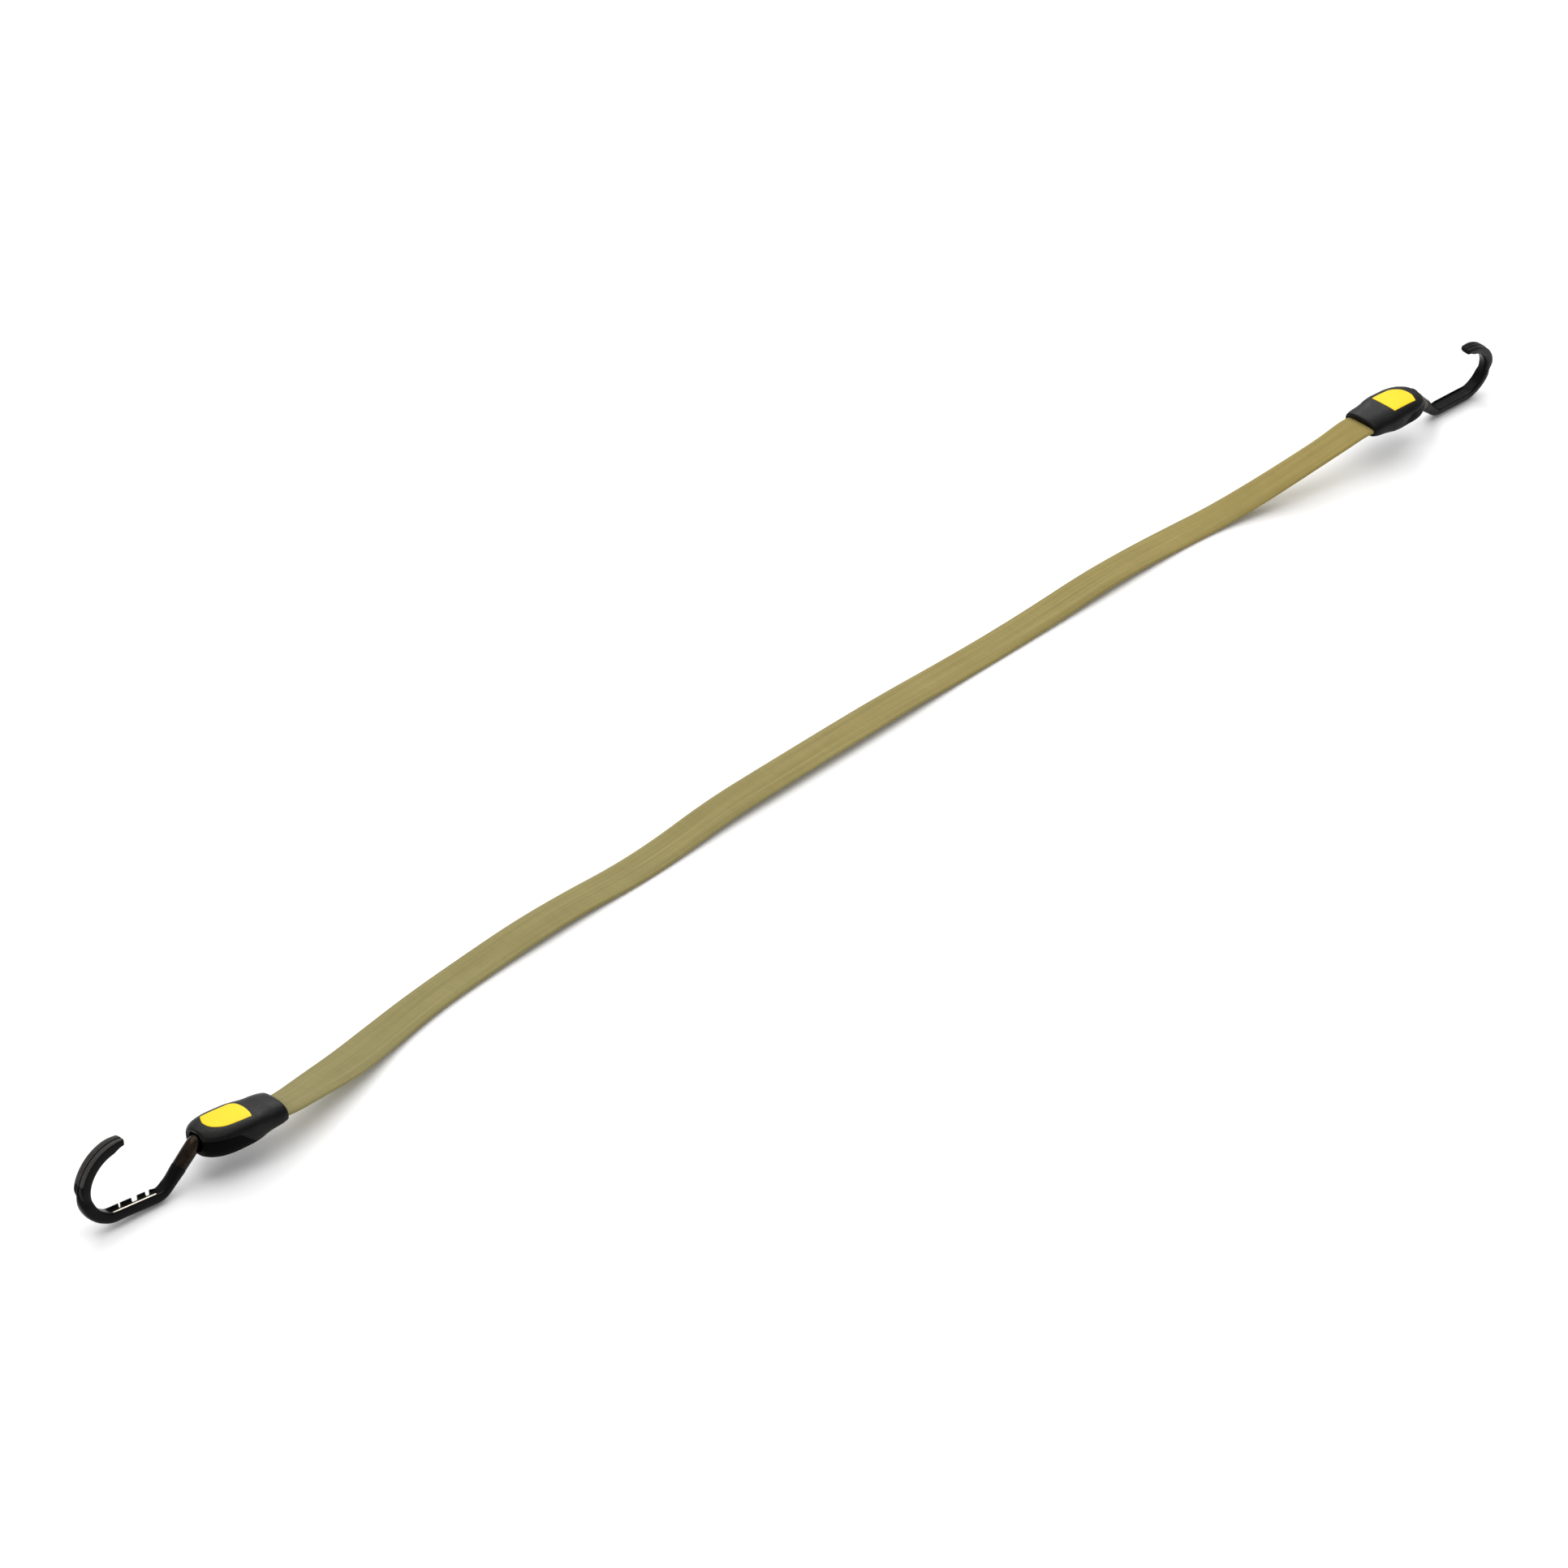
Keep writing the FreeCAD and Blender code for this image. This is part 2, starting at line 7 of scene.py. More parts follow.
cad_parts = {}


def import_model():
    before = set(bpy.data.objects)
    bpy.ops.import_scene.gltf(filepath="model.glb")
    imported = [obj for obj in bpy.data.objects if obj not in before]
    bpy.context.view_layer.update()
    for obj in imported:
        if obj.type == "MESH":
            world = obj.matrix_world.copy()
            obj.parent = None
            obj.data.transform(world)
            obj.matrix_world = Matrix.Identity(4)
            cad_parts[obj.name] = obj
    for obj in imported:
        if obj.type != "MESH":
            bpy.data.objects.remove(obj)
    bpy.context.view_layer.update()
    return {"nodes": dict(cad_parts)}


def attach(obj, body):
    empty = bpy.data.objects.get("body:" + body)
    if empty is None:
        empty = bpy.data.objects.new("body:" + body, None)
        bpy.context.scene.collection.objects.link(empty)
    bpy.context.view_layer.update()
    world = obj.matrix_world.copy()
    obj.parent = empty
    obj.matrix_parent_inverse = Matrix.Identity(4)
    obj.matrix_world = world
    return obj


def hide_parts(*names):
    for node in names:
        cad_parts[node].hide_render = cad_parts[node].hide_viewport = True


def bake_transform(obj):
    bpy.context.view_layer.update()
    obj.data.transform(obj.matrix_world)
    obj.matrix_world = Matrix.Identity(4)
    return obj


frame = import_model()
scene = bpy.context.scene
MM = 0.001

# ------------------------------------------------------------------ shared layout (millimetres, as in the CAD)
LEFT_NOSE, LEFT_YPR = (-538.77, -11.50, 24.21), (-5.3, 4.7, 10.2)
RIGHT_NOSE, RIGHT_YPR = (538.96, -10.11, 28.03), (-2.3, -1.3, 1.1)
HOOK_TURN = {"left": 1.2, "right": 7.1}
FREE_ROUTE = [
    (-455.51, -13.84, 16.07, -2.0),
    (-424.91, -8.25, 10.86, 7.0),
    (-388.86, 2.27, 4.28, 5.0),
    (-347.87, 9.84, 2.67, 0.0),
    (-302.51, 13.19, 2.70, 0.0),
    (-259.51, 13.99, 4.80, 0.0),
    (-219.51, 14.59, 3.60, -1.0),
    (-182.51, 13.79, 1.70, 0.0),
    (-145.51, 14.39, 2.30, 0.0),
    (-97.51, 16.99, 5.20, 0.0),
    (-47.51, 16.89, 6.20, 0.0),
    (7.49, 17.29, 6.10, 0.0),
    (62.49, 17.79, 5.40, 0.0),
    (107.49, 19.09, 2.30, 0.0),
    (152.49, 18.79, 1.85, 0.0),
    (202.49, 18.79, 2.60, 0.0),
    (250.49, 18.79, 5.00, -1.0),
    (292.49, 18.99, 3.60, -1.0),
    (330.49, 17.99, 1.70, 0.0),
    (364.22, 14.33, 2.57, 0.0),
    (397.60, 6.32, 10.52, 0.0),
    (428.97, -2.29, 20.76, -3.0),
    (456.70, -6.55, 26.43, -5.0),
]


def rot(yaw, pitch, roll):
    y, p, r = (math.radians(v) for v in (yaw, pitch, roll))
    cy, sy, cp, sp, cr, sr = math.cos(y), math.sin(y), math.cos(p), math.sin(p), math.cos(r), math.sin(r)
    rz = np.array([[cy, -sy, 0], [sy, cy, 0], [0, 0, 1]])
    ry = np.array([[cp, 0, -sp], [0, 1, 0], [sp, 0, cp]])
    rx = np.array([[1, 0, 0], [0, cr, -sr], [0, sr, cr]])
    return rz @ ry @ rx


END = {
    "left": (np.array(LEFT_NOSE), np.diag([-1.0, -1.0, 1.0]) @ rot(*LEFT_YPR)),
    "right": (np.array(RIGHT_NOSE), rot(*RIGHT_YPR)),
}


def world(side, pts, turn=0.0):
    """Local millimetres (a outward, l left hand, h up) to the row frame in metres."""
    o, m = END[side]
    f = math.radians(turn)
    about = np.array([[1, 0, 0], [0, math.cos(f), -math.sin(f)], [0, math.sin(f), math.cos(f)]])
    return (np.asarray(pts, float).reshape(-1, 3) @ about.T @ m.T + o) * MM


# ------------------------------------------------------------------ camera
AZ, EL = math.radians(-45.672), math.radians(36.249)
back = Vector((math.sin(AZ) * math.cos(EL), -math.cos(AZ) * math.cos(EL), math.sin(EL)))
right = Vector((math.cos(AZ), math.sin(AZ), 0.0))
up = back.cross(right)
cam_data = bpy.data.cameras.new("view")
cam_data.sensor_width = 36.0
cam_data.lens = 120.248
cam_data.clip_start, cam_data.clip_end = 0.1, 60.0
cam = bpy.data.objects.new("view", cam_data)
scene.collection.objects.link(cam)
place = (back * 3236.59 + right * -43.207 + up * -8.130 + Vector((-5.53, -8.61, -0.3))) * MM
cam.matrix_world = Matrix(((right.x, up.x, back.x, place.x), (right.y, up.y, back.y, place.y), (right.z, up.z, back.z, place.z), (0, 0, 0, 1)))
scene.camera = cam


# ------------------------------------------------------------------ mesh helpers
def make_object(name, verts, faces, smooth=True):
    me = bpy.data.meshes.new(name)
    me.from_pydata([tuple(v) for v in verts], [], faces)
    me.update()
    o = bpy.data.objects.new(name, me)
    scene.collection.objects.link(o)
    if smooth:
        for p in me.polygons:
            p.use_smooth = True
    return o


def tidy(o, angle=35.0, merge=0.0):
    """Merge doubles, face outward, and mark edges sharper than the angle."""
    bm = bmesh.new()
    bm.from_mesh(o.data)
    if merge:
        bmesh.ops.remove_doubles(bm, verts=bm.verts, dist=merge)
    bmesh.ops.recalc_face_normals(bm, faces=bm.faces)
    lim = math.radians(angle)
    for e in bm.edges:
        if len(e.link_faces) == 2:
            e.smooth = e.calc_face_angle(0.0) < lim
    for f in bm.faces:
        f.smooth = True
    bm.to_mesh(o.data)
    bm.free()
    o.data.update()


def apply_modifiers(o):
    dg = bpy.context.evaluated_depsgraph_get()
    me = bpy.data.meshes.new_from_object(o.evaluated_get(dg))
    old = o.data
    o.modifiers.clear()
    o.data = me
    me.name = o.name
    bpy.data.meshes.remove(old)


def rings_mesh(rings, closed_u=True, cap=True):
    """Quads between successive rings of the same number of points."""
    n = len(rings[0])
    verts = np.concatenate(rings)
    faces = []
    last = n if closed_u else n - 1
    for i in range(len(rings) - 1):
        for j in range(last):
            k = (j + 1) % n
            faces.append((i * n + j, i * n + k, (i + 1) * n + k, (i + 1) * n + j))
    if cap and closed_u:
        faces.append(tuple(range(n - 1, -1, -1)))
        faces.append(tuple((len(rings) - 1) * n + j for j in range(n)))
    return verts, faces


def mono(x, xs, ys):
    """Monotone cubic through (xs, ys)."""
    xs, ys = np.asarray(xs, float), np.asarray(ys, float)
    x = np.clip(np.asarray(x, float), xs[0], xs[-1])
    h = np.diff(xs)
    d = np.diff(ys) / h
    m = np.zeros(len(xs))
    m[0], m[-1] = d[0], d[-1]
    for i in range(1, len(xs) - 1):
        if d[i - 1] * d[i] > 0:
            w1, w2 = 2 * h[i] + h[i - 1], h[i] + 2 * h[i - 1]
            m[i] = (w1 + w2) / (w1 / d[i - 1] + w2 / d[i])
    i = np.clip(np.searchsorted(xs, x, side="right") - 1, 0, len(h) - 1)
    t = (x - xs[i]) / h[i]
    return (2 * t**3 - 3 * t**2 + 1) * ys[i] + (t**3 - 2 * t**2 + t) * h[i] * m[i] + (-2 * t**3 + 3 * t**2) * ys[i + 1] + (t**3 - t**2) * h[i] * m[i + 1]


def smooth(x, a, b):
    t = np.clip((np.asarray(x, float) - a) / (b - a), 0, 1)
    return t * t * (3 - 2 * t)


# ------------------------------------------------------------------ materials
def new_material(name):
    m = bpy.data.materials.new(name)
    m.use_nodes = True
    nt = m.node_tree
    nt.nodes.clear()
    out = nt.nodes.new("ShaderNodeOutputMaterial")
    b = nt.nodes.new("ShaderNodeBsdfPrincipled")
    nt.links.new(b.outputs[0], out.inputs[0])
    return m, nt, b


def node(nt, kind, **kw):
    n = nt.nodes.new(kind)
    for k, v in kw.items():
        if k in n.inputs:
            n.inputs[k].default_value = v
        else:
            setattr(n, k, v)
    return n


def ramp(nt, fac, stops):
    n = nt.nodes.new("ShaderNodeValToRGB")
    while len(n.color_ramp.elements) < len(stops):
        n.color_ramp.elements.new(0.5)
    for e, (p, c) in zip(n.color_ramp.elements, stops):
        e.position = p
        e.color = tuple(c) + (1.0,) if len(c) == 3 else c
    nt.links.new(fac, n.inputs[0])
    return n.outputs[0]


def maprange(nt, fac, lo, hi, a=0.0, b=1.0):
    n = nt.nodes.new("ShaderNodeMapRange")
    n.inputs[1].default_value, n.inputs[2].default_value, n.inputs[3].default_value, n.inputs[4].default_value = a, b, lo, hi
    nt.links.new(fac, n.inputs[0])
    return n.outputs[0]


def math_node(nt, op, a, b=None):
    n = nt.nodes.new("ShaderNodeMath")
    n.operation = op
    for i, v in enumerate((a, b)):
        if v is None:
            continue
        if isinstance(v, (int, float)):
            n.inputs[i].default_value = v
        else:
            nt.links.new(v, n.inputs[i])
    return n.outputs[0]


def bump(nt, height, strength, distance, normal=None):
    n = nt.nodes.new("ShaderNodeBump")
    n.inputs["Strength"].default_value = strength
    n.inputs["Distance"].default_value = distance
    nt.links.new(height, n.inputs["Height"])
    if normal is not None:
        nt.links.new(normal, n.inputs["Normal"])
    return n.outputs[0]


def noise(nt, scale, detail=4.0, rough=0.5, vec=None, distortion=0.0):
    n = nt.nodes.new("ShaderNodeTexNoise")
    n.inputs["Scale"].default_value = scale
    n.inputs["Detail"].default_value = detail
    n.inputs["Roughness"].default_value = rough
    n.inputs["Distortion"].default_value = distortion
    if vec is not None:
        nt.links.new(vec, n.inputs["Vector"])
    return n.outputs[0]


def object_coords(nt):
    return nt.nodes.new("ShaderNodeTexCoord").outputs["Object"]


def mapped(nt, vec, scale=(1, 1, 1), rotation=(0, 0, 0)):
    n = nt.nodes.new("ShaderNodeMapping")
    n.inputs["Scale"].default_value = scale
    n.inputs["Rotation"].default_value = rotation
    nt.links.new(vec, n.inputs["Vector"])
    return n.outputs[0]


def plastic(name, dark, light, rough, grain=1900.0, grain_strength=0.35, distance=0.00012, spread=0.08, coat=0.0, specular=0.5):
    """Moulded plastic: fine grain, uneven sheen, slight colour drift."""
    m, nt, b = new_material(name)
    co = object_coords(nt)
    big = noise(nt, 60.0, 3.0, 0.6, co)
    fine = noise(nt, grain, 3.0, 0.65, co)
    mid = noise(nt, grain * 0.27, 4.0, 0.55, co)
    nt.links.new(ramp(nt, math_node(nt, "ADD", math_node(nt, "MULTIPLY", big, 0.65), math_node(nt, "MULTIPLY", mid, 0.35)), [(0.32, dark), (0.68, light)]), b.inputs["Base Color"])
    nt.links.new(maprange(nt, math_node(nt, "ADD", math_node(nt, "MULTIPLY", mid, 0.6), math_node(nt, "MULTIPLY", big, 0.4)), rough - spread, rough + spread, 0.3, 0.7), b.inputs["Roughness"])
    h = math_node(nt, "ADD", math_node(nt, "MULTIPLY", fine, 0.7), math_node(nt, "MULTIPLY", mid, 0.3))
    nt.links.new(bump(nt, h, grain_strength, distance), b.inputs["Normal"])
    b.inputs["Specular IOR Level"].default_value = specular
    b.inputs["Coat Weight"].default_value = coat
    b.inputs["Coat Roughness"].default_value = 0.12
    return m


def metal(name, base, rough, streak=(1, 1, 1), scale=900.0):
    m, nt, b = new_material(name)
    co = mapped(nt, object_coords(nt), streak)
    f = noise(nt, scale, 4.0, 0.6, co)
    g = noise(nt, 120.0, 3.0, 0.6, object_coords(nt))
    nt.links.new(ramp(nt, g, [(0.3, tuple(c * 0.8 for c in base)), (0.7, base)]), b.inputs["Base Color"])
    nt.links.new(maprange(nt, f, rough - 0.08, rough + 0.1, 0.3, 0.7), b.inputs["Roughness"])
    nt.links.new(bump(nt, f, 0.12, 0.00004), b.inputs["Normal"])
    b.inputs["Metallic"].default_value = 1.0
    return m


MAT = {}
MAT["housing"] = plastic("charcoal_grain", (0.0016, 0.0015, 0.0014), (0.0046, 0.0043, 0.0040), 0.37, 1300.0, 0.6, 0.00022, 0.09, specular=0.11)
# lower: the case plastic made near black and less shiny for the lower shell, a painted shade on the underside
MAT["lower"] = plastic("near_black_painted_shade", (0.0004, 0.0004, 0.0004), (0.0011, 0.0011, 0.0011), 0.5, 1300.0, 0.4, 0.0002, 0.08, specular=0.035)
MAT["jacket"] = plastic("black_satin", (0.0006, 0.0006, 0.0006), (0.0018, 0.0018, 0.0017), 0.33, 1300.0, 0.4, 0.00016, 0.08, specular=0.085)
# grip_left and grip_right are lit and shaded copies of the jacket plastic for the ribbed tip's outer face. The left one
# is painted grey as a painted sheen where light falls on that face. The right one is kept near black as a painted
# shaded copy.
MAT["grip_left"] = plastic("tip_painted_sheen_grey", (0.010, 0.0095, 0.009), (0.050, 0.047, 0.044), 0.5, 1500.0, 0.8, 0.0003, 0.1, specular=0.2)
MAT["grip_right"] = plastic("tip_painted_shade_black", (0.0015, 0.0015, 0.0014), (0.006, 0.0058, 0.0055), 0.45, 1500.0, 0.7, 0.0003, 0.1, specular=0.12)
MAT["inlay"] = plastic("yellow_moulding", (0.84, 0.585, 0.006), (0.90, 0.645, 0.012), 0.50, 900.0, 0.12, 0.00008, 0.05, specular=0.16)
MAT["bush"] = plastic("natural_acetal", (0.60, 0.58, 0.52), (0.70, 0.68, 0.62), 0.38, 900.0, 0.1, 0.00006, 0.05)
MAT["steel"] = metal("zinc_steel", (0.52, 0.47, 0.38), 0.32)
MAT["fastener"] = metal("black_oxide", (0.10, 0.10, 0.105), 0.38)
MAT["rubber"] = plastic("rubber_strip", (0.02, 0.02, 0.02), (0.035, 0.034, 0.032), 0.7, 1200.0, 0.3, 0.0001, 0.06)


def neck_material():
    m, nt, b = new_material("dark_gloss_dip")
    co = object_coords(nt)
    big = noise(nt, 140.0, 3.0, 0.6, co)
    fine = noise(nt, 700.0, 4.0, 0.6, co)
    nt.links.new(ramp(nt, big, [(0.35, (0.009, 0.006, 0.0042)), (0.65, (0.030, 0.020, 0.013))]), b.inputs["Base Color"])
    nt.links.new(maprange(nt, fine, 0.14, 0.30, 0.3, 0.7), b.inputs["Roughness"])
    nt.links.new(bump(nt, math_node(nt, "ADD", math_node(nt, "MULTIPLY", fine, 0.4), big), 0.25, 0.00015), b.inputs["Normal"])
    b.inputs["Metallic"].default_value = 0.95
    b.inputs["Coat Weight"].default_value = 0.05
    b.inputs["Coat Roughness"].default_value = 0.08
    return m


MAT["neck"] = neck_material()


def strap_material():
    """Khaki tubular weave. UV: u runs across the strap and v along it, both in metres."""
    m, nt, b = new_material("khaki_weave")
    uv = nt.nodes.new("ShaderNodeUVMap")
    uv.uv_map = "strap"
    sep = nt.nodes.new("ShaderNodeSeparateXYZ")
    nt.links.new(uv.outputs[0], sep.inputs[0])
    u, v = sep.outputs[0], sep.outputs[1]
    # threads: warp ribs along the strap, weft across it, set off by half a pitch in every other rib
    warp = math_node(nt, "SINE", math_node(nt, "MULTIPLY", u, 2 * math.pi / 0.00095))
    rib = math_node(nt, "FLOOR", math_node(nt, "MULTIPLY", u, 1 / 0.00095))
    odd = math_node(nt, "MULTIPLY", math_node(nt, "MODULO", rib, 2.0), math.pi)
    weft = math_node(nt, "SINE", math_node(nt, "ADD", math_node(nt, "MULTIPLY", v, 2 * math.pi / 0.0013), odd))
    weave = math_node(nt, "ADD", math_node(nt, "MULTIPLY", math_node(nt, "ABSOLUTE", warp), 0.55), math_node(nt, "MULTIPLY", weft, 0.45))
    # streaks along the strap, and slow patches
    st = mapped(nt, uv.outputs[0], (620.0, 9.0, 1.0))
    streak = noise(nt, 1.0, 5.0, 0.6, st)
    st2 = mapped(nt, uv.outputs[0], (170.0, 3.2, 1.0))
    crease = noise(nt, 1.0, 3.0, 0.5, st2)
    patch = noise(nt, 26.0, 4.0, 0.6, uv.outputs[0])
    cross = noise(nt, 1.0, 3.0, 0.6, mapped(nt, uv.outputs[0], (30.0, 260.0, 1.0)))
    fuzz = noise(nt, 2600.0, 2.0, 0.7, uv.outputs[0])
    # colour: greyer green at the left end, more golden at the right
    along = maprange(nt, v, 0.0, 1.0, 0.05, 0.98)
    green = ramp(nt, streak, [(0.25, (0.206, 0.178, 0.068)), (0.5, (0.240, 0.209, 0.083)), (0.75, (0.280, 0.247, 0.103))])
    gold = ramp(nt, streak, [(0.25, (0.230, 0.176, 0.048)), (0.5, (0.271, 0.211, 0.060)), (0.75, (0.318, 0.254, 0.078))])
    mix = nt.nodes.new("ShaderNodeMix")
    mix.data_type = "RGBA"
    nt.links.new(along, mix.inputs[0])
    nt.links.new(green, mix.inputs[6])
    nt.links.new(gold, mix.inputs[7])
    # value: random patch tone, plus the crease and cross noise that also drive the bump below, so the hollows of the
    # creases come out darker. This is partly random tone and partly painted shade in the creases.
    shade = math_node(nt, "ADD", math_node(nt, "MULTIPLY", patch, 0.5), math_node(nt, "MULTIPLY", crease, 0.5))
    shade = math_node(nt, "ADD", math_node(nt, "MULTIPLY", shade, 0.75), math_node(nt, "MULTIPLY", cross, 0.25))
    val = maprange(nt, shade, 0.87, 1.11, 0.3, 0.7)
    thread = maprange(nt, weave, 0.92, 1.05, -0.4, 0.9)
    hsv = nt.nodes.new("ShaderNodeHueSaturation")
    nt.links.new(mix.outputs[2], hsv.inputs["Color"])
    nt.links.new(math_node(nt, "MULTIPLY", val, thread), hsv.inputs["Value"])
    nt.links.new(hsv.outputs[0], b.inputs["Base Color"])
    nt.links.new(maprange(nt, fuzz, 0.72, 0.92, 0.3, 0.7), b.inputs["Roughness"])
    h = math_node(nt, "ADD", math_node(nt, "MULTIPLY", weave, 0.7), math_node(nt, "MULTIPLY", fuzz, 0.3))
    n1 = bump(nt, h, 0.5, 0.00011)
    n2 = bump(nt, math_node(nt, "ADD", crease, math_node(nt, "MULTIPLY", cross, 0.5)), 0.5, 0.0006, n1)
    nt.links.new(n2, b.inputs["Normal"])
    b.inputs["Sheen Weight"].default_value = 0.15
    b.inputs["Sheen Roughness"].default_value = 0.45
    b.inputs["Sheen Tint"].default_value = (0.9, 0.85, 0.65, 1.0)
    b.inputs["Specular IOR Level"].default_value = 0.25
    return m


MAT["sleeve"] = strap_material()


def dress(o, key):
    o.data.materials.clear()
    o.data.materials.append(MAT[key])


# ------------------------------------------------------------------ strap
def strap_control():
    pts, twist = [], []
    inner_a = -30.2 - 0.9 - 0.3
    for a in (inner_a, -42.0, -54.0, -63.0):
        pts.append(world("left", [(a, 0, 0)])[0])
        twist.append(-LEFT_YPR[2] * (1.0 if a > -60 else 0.75))
    for x, y, z, r in FREE_ROUTE:
        pts.append(np.array((x, y, z)) * MM)
        twist.append(r)
    for a in (-63.0, -54.0, -42.0, inner_a):
        pts.append(world("right", [(a, 0, 0)])[0])
        twist.append(RIGHT_YPR[2] if a > -60 else RIGHT_YPR[2] - 2.0)
    return np.array(pts), np.array(twist)


def nurbs_line(pts, resolution):
    cu = bpy.data.curves.new("route", "CURVE")
    cu.dimensions = "3D"
    sp = cu.splines.new("NURBS")
    sp.points.add(len(pts) - 1)
    for p, q in zip(sp.points, pts):
        p.co = (*q, 1.0)
    sp.order_u = 3
    sp.use_endpoint_u = True
    sp.resolution_u = resolution
    cu.resolution_u = resolution
    o = bpy.data.objects.new("route", cu)
    me = bpy.data.meshes.new_from_object(o)
    line = np.array([v.co[:] for v in me.vertices])
    bpy.data.meshes.remove(me)
    bpy.data.objects.remove(o)
    bpy.data.curves.remove(cu)
    return line


ctrl, twist = strap_control()
line = nurbs_line(ctrl, 24)
seg = np.linalg.norm(np.diff(line, axis=0), axis=1)
along = np.concatenate([[0], np.cumsum(seg)])
length = along[-1]
print("strap line", len(line), "points, length", round(length, 4))


def strap_mesh(line, along):
    W2, T2 = 12.0 * MM, 1.9 * MM
    n = int(round(along[-1] / 0.0018))
    s = np.linspace(0, along[-1], n + 1)
    p = np.stack([np.interp(s, along, line[:, k]) for k in range(3)], axis=1)
    t = np.gradient(p, axis=0)
    t /= np.linalg.norm(t, axis=1)[:, None]
    side = np.cross(np.array([0, 0, 1.0]), t)
    side /= np.linalg.norm(side, axis=1)[:, None]
    nrm = np.cross(t, side)
    tw = np.interp(p[:, 0], ctrl[:, 0], twist)
    k = np.ones(21) / 21
    tw = np.convolve(np.pad(tw, 10, mode="edge"), k, mode="valid")
    r = np.radians(tw)[:, None]
    u_ax = side * np.cos(r) + nrm * np.sin(r)
    v_ax = nrm * np.cos(r) - side * np.sin(r)
    # section: flattened tube with soft edges and strips of rubber that show through
    m = 72
    th = np.linspace(0, 2 * np.pi, m, endpoint=False)
    c, q = np.cos(th), np.sin(th)
    us = np.sign(c) * np.abs(c) ** 0.42
    vs = np.sign(q) * np.abs(q) ** 0.62
    rings = []
    free = smooth(s, 0.045, 0.09) * smooth(along[-1] - s, 0.045, 0.09)
    for i in range(n + 1):
        x = s[i]
        f = free[i]
        u = us * W2 * (1 + 0.004 * f * math.sin(x * 61 + 0.7) * 1.0)
        # crown, long ridges and grooves
        uu = us
        crown = 1 - 0.16 * np.abs(uu) ** 2.2
        ridge = 0.10 * np.cos(uu * math.pi * 3 + 0.25 * math.sin(x * 9.0)) * (1 - uu**4)
        drift = 0.06 * math.sin(x * 13.0 + 1.0) * np.sin(uu * 2.1) + 0.05 * math.sin(x * 29.0) * np.cos(uu * 2.6)
        fold = -0.16 * np.exp(-(((uu - 0.06 - 0.08 * math.sin(x * 6.3)) / 0.07) ** 2)) * (0.6 + 0.4 * math.sin(x * 17.0 + 2.0))
        top = vs > 0
        d = (ridge + drift) * f
        v = vs * T2 * np.where(top, crown + d + fold * f, 1 - 0.06 * np.abs(uu) ** 2)
        rings.append(p[i] + u_ax[i] * u[:, None] + v_ax[i] * v[:, None])
    verts, faces = rings_mesh(rings)
    o = make_object("strap_webbing", verts, faces)
    uv = o.data.uv_layers.new(name="strap")
    # distance round the section, measured on a free ring
    ring = rings[n // 2]
    per = np.concatenate([[0], np.cumsum(np.linalg.norm(np.roll(ring, -1, axis=0) - ring, axis=1))])
    for poly in o.data.polygons:
        ids = [o.data.loops[li].vertex_index for li in poly.loop_indices]
        js = [i % m for i in ids]
        wrap = max(js) - min(js) > m // 2
        for li, vi, j in zip(poly.loop_indices, ids, js):
            uj = per[j] if not (wrap and j < m // 2) else per[-1] + per[j]
            uv.data[li].uv = (uj, s[vi // m])
    tidy(o, 60.0)
    return o


strap = strap_mesh(line, along)
dress(strap, "sleeve")


# ------------------------------------------------------------------ housing
HL = 54.3
SEC_A = [-54.3, -52.4, -50.0, -46.5, -43.0, -39.0, -34.5, -28.0, -18.0, -10.5, -6.0, -3.0, -1.2, -0.3, 0.0]
SEC_W = [13.5, 14.05, 14.5, 14.7, 14.85, 15.3, 15.95, 16.4, 16.35, 15.55, 14.2, 12.6, 11.0, 10.0, 9.4]
SEC_T = [5.9, 6.3, 6.55, 6.7, 6.85, 7.2, 7.75, 8.0, 7.95, 7.65, 7.35, 7.0, 6.75, 6.55, 6.45]
SEC_B = [4.7, 5.2, 5.7, 6.15, 6.6, 7.3, 8.1, 8.8, 9.4, 9.45, 9.15, 8.7, 8.2, 7.85, 7.6]
SEC_N = [2.6, 2.6, 2.7, 2.8, 2.9, 3.1, 3.5, 3.8, 3.8, 3.6, 3.3, 3.0, 2.8, 2.7, 2.6]


def section(a, side):
    w, t, b, n = (mono(a, SEC_A, v) for v in (SEC_W, SEC_T, SEC_B, SEC_N))
    if side == "left":
        collar = 1 - smooth(a, -47.0, -33.0)
        return w + 0.35 * collar, t + 1.15 * collar, b + 0.3 * (1 - collar), n
    nose = smooth(a, -42.0, -18.0)
    return w - 0.45 * nose, t, b - 2.2 * nose, n


def parting(a):
    """Height of the parting line: level at the nose, dropping to the underside towards the mouth."""
    a = np.asarray(a, float)
    return 3.0 - 8.0 * (1 - smooth(a, -31.0, -18.0)) + 3.2 * (1 - smooth(a, -54.0, -46.0))


